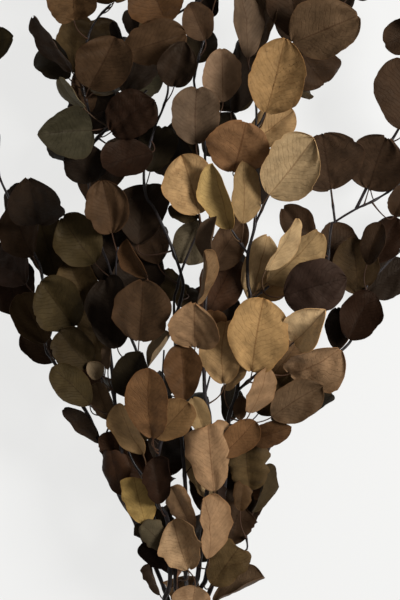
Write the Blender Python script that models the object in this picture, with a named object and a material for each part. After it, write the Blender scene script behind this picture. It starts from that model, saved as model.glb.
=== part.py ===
"""A cut, dried eucalyptus branch, lying down: a woody foot that forks into seven leafy limbs.

Places are in millimetres, x across the branch, y from the foot to the tips and z up from the surface
that it lies on. Meshes are made in metres.
"""
import math
import random

import bmesh
import bpy
from mathutils import Quaternion, Vector
from mathutils.bvhtree import BVHTree

MM = 0.001
UP = Vector((0.0, 0.0, 1.0))

# Driving sizes, in millimetres
FOOT_RADIUS = 5.4          # woody foot at its cut end
HEAD_RADIUS = 3.6          # woody foot where its last limbs leave it
LIMB_SIDES = 6
STRAIGHT = 6.0             # how far a limb runs on in line with its fork stub
LIMB_GAP = 0.3             # between a stub and its limb
STALK_RADIUS = 0.65        # leaf stalk
BLADE_THICKNESS = 0.75
LONG_STALK = 26.0          # a stalk longer than this is bent in its middle
SKIN = 0.7                 # room kept round a blade towards other limbs
OWN_SKIN = 0.15            # room kept round a blade towards its own limb
ROOT_CLEAR = 4.5           # a stalk may touch its own limb this near to its root
TIP_CLEAR = 3.0            # no stalk leaves a stem nearer to its end
LOWEST = 2.5               # lowest place of a leaf that the branch doesn't rest on
STALK_REACH = 20.0         # how far below its blade a stalk leaves the stem

# Where a blade's sections lie along it, for blades up to a length
STATIONS = [
    (44.0, (0.30, 0.66, 0.99)),
    (72.0, (0.20, 0.48, 0.80, 0.99)),
    (999.0, (0.17, 0.40, 0.66, 0.88, 0.99)),
]

# The leaves are set out as seen from straight above. A near leaf looks larger and further out,
# so its place is drawn in along the line of sight.
EYE_HEIGHT = 3000.0
TRUE_LEVEL = 100.0         # the level where a millimetre looks like a millimetre
MIDDLE = Vector((0.0, 300.0, 0.0))

# How far a leaf lies above its stem, and how it is tilted, for leaves in front (F), among the
# stems (M) and behind (B)
LIFT = {"F": 24.0, "M": 5.0, "B": -20.0}
PITCH = {"F": 12.0, "M": 4.0, "B": -16.0}
# A leaf behind others is larger than what shows of it, in width and in length
FULLER = {"F": 1.02, "M": 1.16, "B": 1.4}
LONGER = {"F": 1.0, "M": 1.06, "B": 1.22}
SQUAT = 1.12               # a blade is at least this much longer than wide, or else it is tilted
SLENDER = 0.62             # and at least this wide for its length, or else it is rolled
FOLDS = (6.0, 34.0)        # fold along the midrib, in degrees
TIPS = (0.38, 0.66)        # how a blade narrows towards its tip: less is squarer
LOW_TIPS = (0.24, 0.42)    # the same for the old leaves near the foot
LOW_LEAVES = 140.0         # which have their feet below this y

# The woody foot, from its cut end to its head. Its end lies flat, on a side of its eight-sided tube.
FOOT_SIDES = 8
FOOT_LEVEL = FOOT_RADIUS * math.cos(math.pi / FOOT_SIDES)
FOOT = [(-6, -100, FOOT_LEVEL), (-6, -84, FOOT_LEVEL), (-6, -76, FOOT_LEVEL), (-8, -50, 17), (-11, -28, 33),
        (-12, -6, 50)]

# Each limb: how far along the foot it leaves (0 to 1), then its stems. A stem is a list of points
# from its root to its tip, with the radii at both ends. The first stem starts at the foot.
LIMBS = {
    "limb_far_left": (0.50, [
        ([(-26, -12, 36), (-40, 22, 48), (-55, 56, 58), (-68, 84, 64), (-81, 105, 66), (-99, 154, 66),
          (-108, 177, 65), (-116, 192, 64), (-146, 238, 58), (-155, 257, 56), (-158, 324, 52),
          (-167, 349, 50), (-178, 375, 49), (-190, 400, 48), (-201, 424, 48), (-212, 458, 50),
          (-219, 496, 52), (-222, 535, 54)], 2.3, 0.9),
        ([(-99, 154, 66), (-90, 176, 70)], 1.1, 0.9),
    ]),
    "limb_left": (0.72, [
        ([(-22, 6, 62), (-26, 40, 74), (-37, 58, 80), (-54, 98, 90), (-71, 120, 98), (-78, 139, 104),
          (-79, 159, 106), (-83, 184, 106), (-86, 205, 102), (-88, 230, 94), (-95, 290, 76),
          (-104, 350, 70), (-111, 415, 74), (-111, 447, 80), (-110, 472, 86), (-111, 488, 90),
          (-117, 511, 93), (-118, 530, 95), (-112, 562, 97), (-103, 581, 97), (-89, 596, 96)], 2.5, 0.9),
        ([(-50, 88, 87), (-56, 120, 86), (-65, 135, 86), (-77, 159, 88), (-87, 177, 90),
          (-97, 184, 90), (-109, 194, 92)], 1.6, 0.9),
        ([(-87, 177, 90), (-95, 213, 84), (-106, 234, 82), (-116, 251, 80), (-127, 272, 78)], 1.4, 1.0),
        ([(-111, 447, 80), (-106, 458, 86), (-89, 475, 96), (-53, 510, 98)], 1.8, 1.0),
        ([(-118, 522, 94), (-78, 555, 102), (-53, 568, 104), (-15, 591, 105), (2, 601, 104)], 1.8, 1.0),
    ]),
    "limb_left_middle": (0.62, [
        ([(-33, -2, 60), (-30, 20, 74), (-33, 81, 100), (-43, 98, 104), (-43, 140, 110), (-35, 180, 116),
          (-45, 220, 122), (-61, 236, 126), (-64, 250, 128), (-70, 265, 129), (-77, 290, 128),
          (-84, 310, 126), (-92, 337, 121), (-98, 352, 116), (-106, 385, 108)], 2.4, 1.0),
        ([(-35, 180, 116), (-38, 210, 106), (-36, 250, 104)], 1.3, 0.9),
        ([(-35, 180, 116), (-25, 202, 118)], 1.1, 0.9),
        ([(-84, 310, 126), (-84, 334, 132), (-82, 353, 134)], 1.1, 0.9),
    ]),
    "limb_middle": (0.88, [
        ([(-14, 20, 78), (-14, 100, 100), (-20, 180, 106), (-24, 240, 110), (-26, 297, 116),
          (-23, 311, 119), (-19, 328, 121), (-8, 355, 124), (0, 373, 124), (-1, 386, 123)], 2.3, 1.0),
        ([(-25, 280, 114), (-17, 311, 128), (-19, 326, 132), (-23, 339, 134), (-29, 355, 135),
          (-35, 369, 134), (-46, 392, 130), (-54, 404, 126), (-56, 430, 122), (-50, 455, 120),
          (-44, 476, 121), (-37, 492, 123), (-32, 516, 122), (-44, 548, 118)], 1.7, 1.0),
    ]),
    "limb_centre": (1.0, [
        ([(-4, 18, 70), (2, 60, 84), (8, 120, 96), (10, 178, 112), (5, 205, 120), (4, 247, 126),
          (5, 290, 129), (8, 326, 130), (6, 353, 131), (10, 379, 129), (9, 396, 125), (6, 420, 116),
          (5, 442, 111), (4, 462, 111), (-5, 511, 112), (-5, 526, 110), (4, 560, 108), (12, 580, 106)],
         2.5, 1.0),
        ([(5, 205, 120), (10, 224, 122)], 1.1, 0.9),
    ]),
    "limb_right_middle": (0.94, [
        ([(2, 14, 58), (14, 60, 74), (24, 108, 92), (28, 176, 110), (37, 209, 114), (40, 242, 116),
          (50, 299, 120), (48, 317, 122), (48, 346, 124), (55, 376, 124), (53, 400, 122),
          (52, 420, 120), (56, 466, 118), (64, 484, 118), (78, 520, 116), (93, 556, 112),
          (118, 574, 108), (142, 584, 104)], 2.5, 0.9),
        ([(37, 209, 114), (51, 221, 118), (76, 242, 121), (94, 258, 122)], 1.6, 0.9),
        ([(76, 242, 121), (82, 262, 124), (91, 270, 124)], 1.1, 0.9),
        ([(55, 376, 124), (69, 405, 129)], 1.3, 1.0),
        ([(48, 346, 124), (31, 371, 130)], 1.3, 1.0),
        ([(56, 466, 118), (56, 496, 114), (50, 532, 112)], 1.4, 1.0),
        ([(50, 299, 120), (69, 314, 126)], 1.2, 0.9),
        ([(14, 60, 74), (38, 48, 80), (47, 51, 82), (46, 65, 84)], 1.2, 0.9),
    ]),
    "limb_right": (0.80, [
        ([(4, 0, 40), (34, 70, 56), (66, 146, 66), (102, 225, 70), (124, 310, 74), (131, 371, 80),
          (135, 378, 82), (156, 391, 84), (175, 400, 83), (200, 416, 80), (216, 430, 76)], 2.4, 0.9),
        ([(135, 378, 82), (131, 410, 90)], 1.3, 1.0),
        ([(156, 391, 84), (182, 443, 90), (200, 474, 92), (210, 500, 92), (218, 535, 90), (220, 566, 88)],
         1.7, 1.0),
        ([(168, 415, 87), (170, 424, 92)], 1.1, 0.9),
        ([(102, 225, 70), (150, 258, 62), (164, 308, 56), (185, 334, 54), (200, 349, 52), (212, 362, 50)],
         1.6, 0.9),
    ]),
}

# Leaves: foot of the blade x, y, its tip x, y, the width that shows, and F, M or B
LEAVES = {
    "limb_far_left": [
        (-224, 550, -189, 562, 34, "M"), (-162, 376, -172, 422, 62, "F"), (-167, 344, -190, 392, 40, "M"),
        (-174, 316, -196, 357, 46, "M"), (-180, 286, -198, 332, 36, "B"), (-144, 323, -158, 374, 34, "B"),
        (-155, 257, -178, 304, 36, "M"), (-146, 238, -172, 264, 24, "B"), (-79, 105, -90, 150, 25, "F"),
        (-18, 28, -60, 54, 26, "F"), (-100, 158, -136, 192, 16, "F"), (-16, -8, -8, 20, 34, "M"),
        (-228, 480, -234, 524, 36, "B"), (-219, 500, -240, 548, 44, "M"), (-230, 560, -242, 612, 36, "F"),
        (-206, 440, -238, 474, 40, "M"),
    ],
    "limb_left": [
        (-126, 580, -132, 632, 58, "F"), (-128, 528, -169, 583, 14, "F"), (-130, 520, -153, 546, 28, "B"),
        (-122, 526, -108, 580, 52, "M"), (-111, 512, -85, 563, 55, "F"), (-72, 500, -50, 534, 30, "B"),
        (-76, 547, -14, 567, 48, "F"), (-60, 566, -50, 583, 18, "B"), (-33, 578, -52, 630, 56, "F"),
        (-78, 556, -87, 577, 9, "M"), (-68, 564, -70, 586, 14, "B"), (-89, 468, -47, 500, 50, "F"),
        (-107, 468, -159, 465, 54, "M"), (-114, 443, -138, 484, 22, "F"), (-111, 417, -118, 458, 44, "F"),
        (-97, 450, -74, 461, 12, "F"), (-116, 492, -142, 522, 11, "F"), (-112, 488, -124, 528, 22, "M"),
        (-110, 488, -96, 510, 18, "B"), (-108, 294, -132, 341, 43, "F"), (-126, 273, -160, 318, 55, "F"),
        (-97, 239, -114, 288, 32, "M"), (-109, 234, -138, 268, 36, "M"), (-110, 196, -148, 232, 32, "F"),
        (-110, 194, -112, 238, 24, "B"), (-100, 222, -111, 238, 18, "F"), (-92, 230, -90, 255, 11, "F"),
        (-89, 180, -103, 215, 18, "M"), (-68, 200, -58, 246, 44, "M"), (-57, 146, -81, 197, 27, "F"),
        (-79, 140, -92, 166, 24, "M"), (-54, 120, -70, 155, 30, "B"), (-54, 76, -66, 122, 31, "F"),
        (-32, 51, -58, 77, 24, "F"), (-12, 31, -27, 81, 42, "F"), (-23, 22, -24, 43, 8, "F"),
        (-88, 597, -112, 648, 46, "M"), (-86, 598, -66, 640, 38, "B"), (4, 602, 22, 650, 40, "M"),
        (-108, 466, -100, 510, 42, "B"), (-76, 505, -66, 548, 40, "B"), (-74, 455, -66, 492, 34, "B"),
        (-112, 398, -98, 440, 42, "B"), (-38, 124, -24, 156, 26, "B"),
    ],
    "limb_left_middle": [
        (-88, 367, -98, 420, 49, "F"), (-105, 337, -136, 381, 44, "M"), (-61, 259, -57, 321, 60, "F"),
        (-53, 322, -73, 361, 19, "F"), (-65, 300, -80, 358, 40, "B"), (-82, 252, -92, 310, 32, "B"),
        (-52, 233, -30, 267, 9, "F"), (-47, 163, -50, 228, 34, "M"), (-45, 163, -11, 198, 36, "F"),
        (-43, 138, -16, 170, 42, "B"), (-40, 97, -48, 139, 24, "M"), (-40, 4, -49, 34, 9, "M"),
        (-30, 78, -29, 95, 8, "M"), (-98, 318, -90, 364, 40, "B"), (-70, 298, -58, 342, 38, "B"),
    ],
    "limb_middle": [
        (-26, 513, -16, 555, 38, "M"), (-48, 448, -94, 435, 36, "M"), (-50, 428, -40, 466, 28, "B"),
        (-1, 386, -18, 445, 54, "F"), (-2, 382, -30, 392, 16, "M"), (-62, 355, -54, 404, 36, "B"),
        (-1, 380, -15, 338, 33, "M"), (-14, 306, -40, 318, 24, "B"), (-22, 293, -12, 310, 18, "B"),
        (-42, 336, -50, 368, 30, "B"), (-5, 253, -6, 296, 52, "F"), (-16, 200, -20, 256, 40, "F"),
        (-7, 70, -28, 113, 23, "F"), (-5, 14, -12, -24, 42, "F"),
    ],
    "limb_centre": [
        (5, 560, -10, 595, 30, "M"), (-4, 456, -3, 514, 49, "F"), (-2, 440, -32, 458, 36, "B"),
        (23, 498, 22, 549, 35, "M"), (6, 444, 28, 480, 24, "B"), (-4, 538, 4, 567, 26, "B"),
        (12, 584, 5, 612, 22, "M"), (10, 336, 16, 383, 16, "F"), (13, 332, 43, 378, 36, "M"),
        (8, 286, 32, 332, 32, "B"), (24, 216, 26, 276, 38, "M"), (8, 254, 14, 288, 24, "M"),
        (-4, 295, 3, 350, 14, "F"), (5, 168, -7, 201, 22, "M"), (13, 100, -10, 147, 26, "M"),
        (9, 42, 4, 104, 35, "F"), (18, 606, 38, 650, 42, "F"), (12, 84, 18, 132, 38, "B"),
    ],
    "limb_right_middle": [
        (47, 542, 40, 608, 28, "M"), (50, 545, 68, 610, 32, "M"), (93, 557, 160, 585, 68, "F"),
        (90, 558, 85, 592, 22, "B"), (96, 555, 120, 523, 37, "B"), (66, 487, 85, 562, 60, "F"),
        (51, 457, 92, 488, 36, "M"), (31, 487, 40, 545, 26, "B"), (33, 428, 45, 474, 54, "M"),
        (69, 405, 114, 462, 60, "F"), (145, 585, 130, 625, 30, "B"), (30, 371, 11, 436, 32, "F"),
        (43, 376, 42, 434, 17, "M"), (58, 395, 62, 440, 14, "B"), (66, 330, 97, 382, 24, "F"),
        (67, 317, 118, 366, 30, "M"), (52, 297, 67, 362, 26, "M"), (58, 302, 88, 326, 26, "M"),
        (84, 304, 146, 322, 58, "F"), (23, 274, 30, 298, 16, "B"), (52, 228, 64, 302, 59, "F"),
        (94, 258, 125, 290, 50, "F"), (90, 226, 139, 250, 50, "M"), (72, 224, 94, 253, 24, "B"),
        (72, 183, 122, 214, 40, "F"), (50, 187, 67, 232, 26, "F"), (25, 209, 39, 278, 11, "F"),
        (28, 178, 30, 209, 15, "B"), (14, 109, 8, 175, 44, "F"), (22, 144, 55, 179, 30, "F"),
        (50, 159, 91, 172, 27, "F"), (31, 55, 40, 92, 28, "M"), (32, 55, 52, 94, 20, "B"),
        (12, 15, 40, 54, 34, "F"), (19, 92, 17, 114, 8, "F"), (40, 90, 43, 116, 13, "M"),
        (40, 180, 42, 203, 14, "M"), (98, 562, 84, 632, 50, "M"), (150, 606, 180, 640, 42, "M"),
        (42, 72, 48, 118, 26, "B"), (58, 186, 84, 220, 34, "B"),
    ],
    "limb_right": [
        (131, 410, 123, 463, 58, "M"), (169, 411, 186, 462, 52, "M"), (204, 470, 203, 539, 50, "M"),
        (221, 568, 187, 558, 33, "M"), (112, 358, 84, 391, 31, "M"), (118, 342, 147, 364, 30, "B"),
        (158, 307, 151, 358, 38, "M"), (167, 336, 182, 377, 22, "F"), (173, 338, 197, 380, 32, "M"),
        (194, 384, 206, 414, 27, "M"), (166, 307, 199, 332, 32, "B"), (148, 261, 172, 304, 38, "M"),
        (72, 178, 122, 201, 24, "B"), (138, 250, 137, 285, 22, "B"), (50, 111, 46, 155, 44, "F"),
        (53, 88, 63, 133, 14, "M"), (13, -2, 65, 22, 19, "F"), (220, 568, 232, 616, 44, "F"),
        (218, 434, 234, 484, 44, "M"), (212, 364, 236, 404, 40, "M"),
    ],
}

# The two leaves whose tips the branch rests on, with its cut end: limb, foot x, y, z, tip x, y
RESTS = [
    ("limb_far_left", (-188, 372, 38), (-176, 418)),
    ("limb_right", (174, 412, 44), (166, 462)),
]
REST_WIDTH = 44.0

# Leaves of the underside, which grow by rule: every so often along each main stem
UNDER_STEP = 64.0
UNDER_LENGTH = (44.0, 60.0)
UNDER_SHAPE = (0.72, 0.92)     # width over length
UNDER_DROP = (35.0, 70.0)      # degrees below the surface's plane
UNDER_SPREAD = (35.0, 75.0)    # degrees away from the stem

SEED = 13

# Ways that a leaf may give way to others: raised by millimetres, tilted and rolled by degrees
OWN_COST = 60.0            # crossing a leaf of the same limb counts like this many millimetres
RAISES = (0, -4, 4, -8, 8, -13, 13, -19, 19, -26, 26)
TILTS = (0, -12, 12, -25, 25)
ROLLS = (0, 18, -18)


def seen_from_above(x, y, level):
    """The place at a level that looks to be at x, y on the true level."""
    scale = (EYE_HEIGHT - level) / (EYE_HEIGHT - TRUE_LEVEL)
    flat = MIDDLE + (Vector((x, y, 0.0)) - MIDDLE) * scale
    return Vector((flat.x, flat.y, level))


def outline(v, blunt):
    """Half width of a blade, 0 to 1, at v from its foot (0) to its tip (1)."""
    return 1.76 * v ** 0.5 * max(0.0, 1.0 - v ** 1.7) ** blunt


class Leaf:
    """A blade's place and form: where its foot and tip are, how it is turned, folded and arched."""

    def __init__(self, foot, tip, width, roll, draw):
        self.foot = foot
        self.length = (tip - foot).length
        self.width = width
        self.along = (tip - foot).normalized()
        flat = self.along.cross(UP)
        if flat.length < 0.05:
            flat = Vector((1.0, 0.0, 0.0))
        turn = Quaternion(self.along, math.radians(roll))
        self.across = turn @ flat.normalized()
        self.normal = self.across.cross(self.along)
        self.fold = math.radians(draw.uniform(*FOLDS))
        self.arch = draw.uniform(-0.05, 0.09)
        self.twist = draw.uniform(-0.10, 0.10)
        self.blunt = draw.uniform(*(LOW_TIPS if foot.y < LOW_LEAVES else TIPS))

    def point(self, u, v):
        """The middle of the blade's thickness, u from -1 to 1 across and v from 0 to 1 along."""
        half = 0.5 * self.width * outline(v, self.blunt)
        side = u * half * math.cos(self.fold)
        lift = abs(u) * half * math.sin(self.fold)
        lift += self.arch * self.length * math.sin(math.pi * v)
        lift += self.twist * u * half * (2.0 * v - 1.0)
        return self.foot + self.along * (v * self.length) + self.across * side + self.normal * lift


def stalk_ring(middle, toward, normal, radius):
    """Three points round a stalk: left, top and right."""
    toward = toward.normalized()
    side = toward.cross(normal).normalized()
    top = side.cross(toward)
    ring = []
    for angle in (210, 90, -30):
        turn = math.radians(angle)
        ring.append(middle + radius * (side * math.cos(turn) + top * math.sin(turn)))
    return ring


def blade_ring(leaf, v, skin):
    """Six points round a blade's section: left, middle and right above, then right to left below."""
    half = leaf.normal * (0.5 * BLADE_THICKNESS + skin)
    ahead = leaf.along * (v * skin)
    line = [leaf.point(u, v) + leaf.across * (u * skin) + ahead for u in (-1.0, 0.0, 1.0)]
    return [p + half for p in line] + [p - half for p in reversed(line)]


def leaf_rings(leaf, root, skin=0.0):
    """Sections from the stalk's root to the blade's tip; skin makes the blade thicker all round."""
    reach = leaf.foot - root
    bend = leaf.foot - leaf.along * (0.45 * reach.length)
    radius = STALK_RADIUS + skin
    rings = [stalk_ring(root, bend - root, leaf.normal, radius)]
    if reach.length > LONG_STALK:
        rings.append(stalk_ring(0.25 * root + 0.5 * bend + 0.25 * leaf.foot, reach, leaf.normal, radius))
    rings.append(stalk_ring(leaf.foot, leaf.along, leaf.normal, radius))
    stations = [s for size, s in STATIONS if leaf.length <= size][0]
    return rings + [blade_ring(leaf, v, skin) for v in stations]


def between(a, b, near, far):
    """Triangles between two sections, from the first point of each."""
    if far == 3:
        return [(a + i, b + i, b + (i + 1) % 3) for i in range(3)] + [
            (a + i, b + (i + 1) % 3, a + (i + 1) % 3) for i in range(3)]
    if near == 3:
        left, top, right = a, a + 1, a + 2
        return [(left, b, b + 1), (left, b + 1, top), (top, b + 1, b + 2), (top, b + 2, right),
                (right, b + 2, b + 3), (right, b + 3, b + 4), (right, b + 4, left), (left, b + 4, b + 5),
                (left, b + 5, b)]
    faces = []
    for middle, edge in ((1, 0), (1, 2), (4, 5), (4, 3), (2, 3), (5, 0)):
        faces.append((a + middle, b + middle, b + edge))
        faces.append((a + middle, b + edge, a + edge))
    return faces


def loft(rings):
    """Points and triangles of a closed body through the rings, split alike above and below."""
    points = [p for ring in rings for p in ring]
    faces = [(0, 1, 2)]
    start = 0
    for near, far in zip(rings, rings[1:]):
        faces += between(start, start + len(near), len(near), len(far))
        start += len(near)
    tip = ((0, 1, 5), (1, 4, 5), (1, 2, 3), (1, 3, 4))
    return points, faces + [tuple(start + i for i in ends) for ends in tip]


def nearest_on(points, place):
    """Nearest point of a line of points to a place, as distance and point."""
    best = (1e9, points[0])
    for a, b in zip(points, points[1:]):
        span = b - a
        share = max(0.0, min(1.0, (place - a).dot(span) / span.length_squared))
        spot = a + span * share
        gap = (place - spot).length
        if gap < best[0]:
            best = (gap, spot)
    return best


def cut_short(points):
    """A stem's line without the last bit at both ends, where a root wouldn't be sunk in."""
    first = points[0] + (points[1] - points[0]).normalized() * TIP_CLEAR
    last = points[-1] + (points[-2] - points[-1]).normalized() * TIP_CLEAR
    return [first] + points[1:-1] + [last]


class Limb:
    """A limb's stems as lines of points, and the leaves that are already in place on it."""

    def __init__(self, name, foot_line):
        self.name = name
        share, stems = LIMBS[name]
        self.stems = [([seen_from_above(*p) for p in points], first, last) for points, first, last in stems]
        self.leaves = []
        start = self.stems[0][0][0]
        self.fork = along_line(foot_line, share)
        self.away = (start - self.fork).normalized()
        self.stems[0][0].insert(1, start + self.away * STRAIGHT)

    def root_for(self, foot, along):
        """Where a leaf's stalk leaves the limb: on the nearest stem, a little below the blade."""
        wanted = foot - along * STALK_REACH
        found = [nearest_on(cut_short(line), wanted) for line, first, last in self.stems]
        return min(found, key=lambda item: item[0])[1]

    def level_near(self, x, y):
        """The level of the limb's nearest stem, as seen from above."""
        spots = []
        for line, first, last in self.stems:
            for p, q in zip(line, line[1:]):
                for share in (0.0, 0.5, 1.0):
                    spot = p.lerp(q, share)
                    spots.append((math.hypot(spot.x - x, spot.y - y), spot.z))
        return min(spots)[1]


def along_line(points, share):
    """The place at a share of a line's whole length."""
    spans = [(q - p).length for p, q in zip(points, points[1:])]
    left = share * sum(spans)
    for p, q, span in zip(points, points[1:], spans):
        if left <= span:
            return p.lerp(q, left / span)
        left -= span
    return points[-1].copy()


def box_of(points):
    low = [min(p[i] for p in points) for i in range(3)]
    high = [max(p[i] for p in points) for i in range(3)]
    return low, high


def boxes_meet(a, b):
    return all(a[0][i] <= b[1][i] and b[0][i] <= a[1][i] for i in range(3))


class Room:
    """What is already in place, so that a new leaf can be tried against it."""

    def __init__(self):
        self.bodies = []

    def add(self, owner, points, faces):
        self.bodies.append((owner, BVHTree.FromPolygons(points, faces), box_of(points)))

    def hits(self, owner, leaf, root):
        """Whether a new leaf would cross another limb's bodies, and how many of its own limb's."""
        points, faces = loft(leaf_rings(leaf, root, SKIN))
        whole, whole_box = BVHTree.FromPolygons(points, faces), box_of(points)
        clear = root + (leaf.foot - root).normalized() * ROOT_CLEAR
        points, faces = loft(leaf_rings(leaf, clear, OWN_SKIN))
        blade, blade_box = BVHTree.FromPolygons(points, faces), box_of(points)
        own = 0
        for limb, tree, box in self.bodies:
            if limb != owner:
                if boxes_meet(whole_box, box) and whole.overlap(tree):
                    return True, own
            elif boxes_meet(blade_box, box) and blade.overlap(tree):
                own += 1
        return False, own


def ways_to_give():
    """Every way a leaf may give way, the least change first."""
    ways = [(r, t, o) for r in RAISES for t in TILTS for o in ROLLS]
    return sorted(ways, key=lambda way: abs(way[0]) + 0.5 * abs(way[1]) + 0.3 * abs(way[2]))


def moved(foot, tip, raised, tilted):
    """A foot and tip raised, and tilted about the blade's middle."""
    drop = math.tan(math.radians(tilted)) * (tip - foot).length
    lift = UP * (raised - 0.5 * drop)
    return foot + lift, tip + lift + UP * drop


def own_draw(*place):
    """A leaf's own random draw, which stays the same when other leaves are added."""
    return random.Random(f"{SEED} {place}")


def place_leaf(limb, room, foot, tip, width, roll, seed):
    """Puts a leaf on a limb, giving way to what is there. Returns False if it finds no room."""
    best = None
    for raised, tilted, rolled in ways_to_give():
        new_foot, new_tip = moved(foot, tip, raised, tilted)
        leaf = Leaf(new_foot, new_tip, width, roll + rolled, random.Random(seed))
        root = limb.root_for(leaf.foot, leaf.along)
        whole = [p for ring in leaf_rings(leaf, root, SKIN) for p in ring]
        if min(p.z for p in whole) < LOWEST:
            continue
        others, own = room.hits(limb.name, leaf, root)
        if others:
            continue
        cost = abs(raised) + 0.5 * abs(tilted) + 0.3 * abs(rolled) + OWN_COST * own
        if best is None or cost < best[0]:
            best = (cost, leaf, root)
        if own == 0:
            break
    if best is None:
        return False
    limb.leaves.append(best[1:])
    room.add(limb.name, *loft(leaf_rings(*best[1:])))
    return True


def place_row(limb, room, row):
    """Puts in a leaf that is given by how it looks from above."""
    draw = own_draw(*row)
    x0, y0, x1, y1, width, kind = row
    width *= FULLER[kind]
    x1 += (x1 - x0) * (LONGER[kind] - 1.0)
    y1 += (y1 - y0) * (LONGER[kind] - 1.0)
    shown = math.hypot(x1 - x0, y1 - y0)
    level = limb.level_near(x0, y0) + LIFT[kind] + draw.uniform(-3.0, 3.0)
    tilt = math.radians(PITCH[kind] + draw.uniform(-5.0, 5.0))
    if shown < SQUAT * width:
        tilt = math.copysign(math.acos(shown / (SQUAT * width)), tilt)
    length = shown / math.cos(tilt)
    full = max(width, SLENDER * length)
    roll = math.degrees(math.acos(width / full)) * draw.choice((-1.0, 1.0))
    roll += draw.uniform(-6.0, 6.0)
    foot = seen_from_above(x0, y0, level)
    tip = seen_from_above(x1, y1, level + shown * math.tan(tilt))
    return place_leaf(limb, room, foot, tip, full, roll, draw.random())


def place_rest(limb, room, foot, tip):
    """Puts in a leaf that the branch rests on, with its lowest point on the surface."""
    leaf = Leaf(Vector(foot), Vector((*tip, 2.0)), REST_WIDTH, 0.0, own_draw(*foot, *tip))
    root = limb.root_for(leaf.foot, leaf.along)
    leaf.foot = leaf.foot - UP * min(p.z for ring in leaf_rings(leaf, root) for p in ring)
    root = limb.root_for(leaf.foot, leaf.along)
    limb.leaves.append((leaf, root))
    room.add(limb.name, *loft(leaf_rings(leaf, root)))


def is_covered(x, y):
    """Whether a place lies under one of the leaves that were set out by hand."""
    for rows in LEAVES.values():
        for x0, y0, x1, y1, width, kind in rows:
            long = math.hypot(x1 - x0, y1 - y0)
            along = ((x - 0.5 * (x0 + x1)) * (x1 - x0) + (y - 0.5 * (y0 + y1)) * (y1 - y0)) / long
            aside = ((x - 0.5 * (x0 + x1)) * (y1 - y0) - (y - 0.5 * (y0 + y1)) * (x1 - x0)) / long
            if (2.0 * along / long) ** 2 + (2.0 * aside / width) ** 2 < 1.0:
                return True
    return False


def place_under(limb, room):
    """Puts the leaves of the underside along a limb's main stem, where leaves in front cover them."""
    line = limb.stems[0][0]
    length = sum((q - p).length for p, q in zip(line, line[1:]))
    count = int(length / UNDER_STEP)
    for i in range(1, count + 1):
        draw = own_draw(limb.name, i)
        spot = along_line(line, (i - 0.5) / count)
        ahead = along_line(line, min(1.0, i / count)) - spot
        side = math.radians(draw.uniform(*UNDER_SPREAD)) * (1 if i % 2 else -1)
        drop = math.radians(draw.uniform(*UNDER_DROP))
        flat = math.atan2(ahead.y, ahead.x) + side
        toward = Vector((math.cos(flat) * math.cos(drop), math.sin(flat) * math.cos(drop), -math.sin(drop)))
        long = draw.uniform(*UNDER_LENGTH)
        foot = spot + toward * 16.0 - UP * 3.0
        tip = foot + toward * long
        if is_covered(tip.x, tip.y) and is_covered(*foot.lerp(tip, 0.5).xy):
            width = long * draw.uniform(*UNDER_SHAPE)
            place_leaf(limb, room, foot, tip, width, 0.0, draw.random())


def tube(name, line, first, last, sides, shift):
    """A tapering stem with filled ends, as a closed mesh."""
    curve = bpy.data.curves.new(name, "CURVE")
    curve.dimensions = "3D"
    curve.twist_mode = "Z_UP"
    curve.bevel_depth = MM
    curve.bevel_resolution = sides // 2 - 2
    curve.use_fill_caps = True
    spline = curve.splines.new("POLY")
    spline.points.add(len(line) - 1)
    for i, (spot, place) in enumerate(zip(spline.points, line)):
        spot.co = (*((place + shift) * MM), 1.0)
        spot.radius = first + (last - first) * i / (len(line) - 1)
        spot.tilt = math.pi / sides
    thing = bpy.data.objects.new(name, curve)
    bpy.context.scene.collection.objects.link(thing)
    bpy.context.view_layer.update()
    mesh = bpy.data.meshes.new_from_object(thing.evaluated_get(bpy.context.evaluated_depsgraph_get()))
    bm = bmesh.new()
    bm.from_mesh(mesh)
    bmesh.ops.remove_doubles(bm, verts=bm.verts, dist=1e-6)
    bmesh.ops.recalc_face_normals(bm, faces=bm.faces)
    bm.to_mesh(mesh)
    bm.free()
    solid = bpy.data.objects.new(name, mesh)
    solid.matrix_world = thing.matrix_world
    bpy.data.objects.remove(thing)
    bpy.data.curves.remove(curve)
    return solid


def leaf_solid(name, leaf, root, shift):
    points, faces = loft(leaf_rings(leaf, root))
    mesh = bpy.data.meshes.new(name)
    mesh.from_pydata([(p + shift) * MM for p in points], [], faces)
    bm = bmesh.new()
    bm.from_mesh(mesh)
    bmesh.ops.recalc_face_normals(bm, faces=bm.faces)
    if bm.calc_volume(signed=True) < 0.0:
        bmesh.ops.reverse_faces(bm, faces=bm.faces)
    bm.to_mesh(mesh)
    bm.free()
    return bpy.data.objects.new(name, mesh)


def keep_outer_body(mesh):
    """Drops loose scraps, and fills the hollows that fusing sealed, by keeping the largest shell."""
    bm = bmesh.new()
    bm.from_mesh(mesh)
    bmesh.ops.triangulate(bm, faces=bm.faces)
    left = set(bm.faces)
    shells = []
    while left:
        front = [left.pop()]
        shell = []
        while front:
            face = front.pop()
            shell.append(face)
            for edge in face.edges:
                for other in edge.link_faces if len(edge.link_faces) == 2 else ():
                    if other in left:
                        left.remove(other)
                        front.append(other)
        shells.append(shell)
    shells.sort(key=len, reverse=True)
    dropped = [len(shell) for shell in shells[1:]]
    for shell in shells[1:]:
        bmesh.ops.delete(bm, geom=shell, context="FACES")
    loose = [v for v in bm.verts if not v.link_faces]
    bmesh.ops.delete(bm, geom=loose, context="VERTS")
    bm.to_mesh(mesh)
    bm.free()
    return dropped


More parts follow.
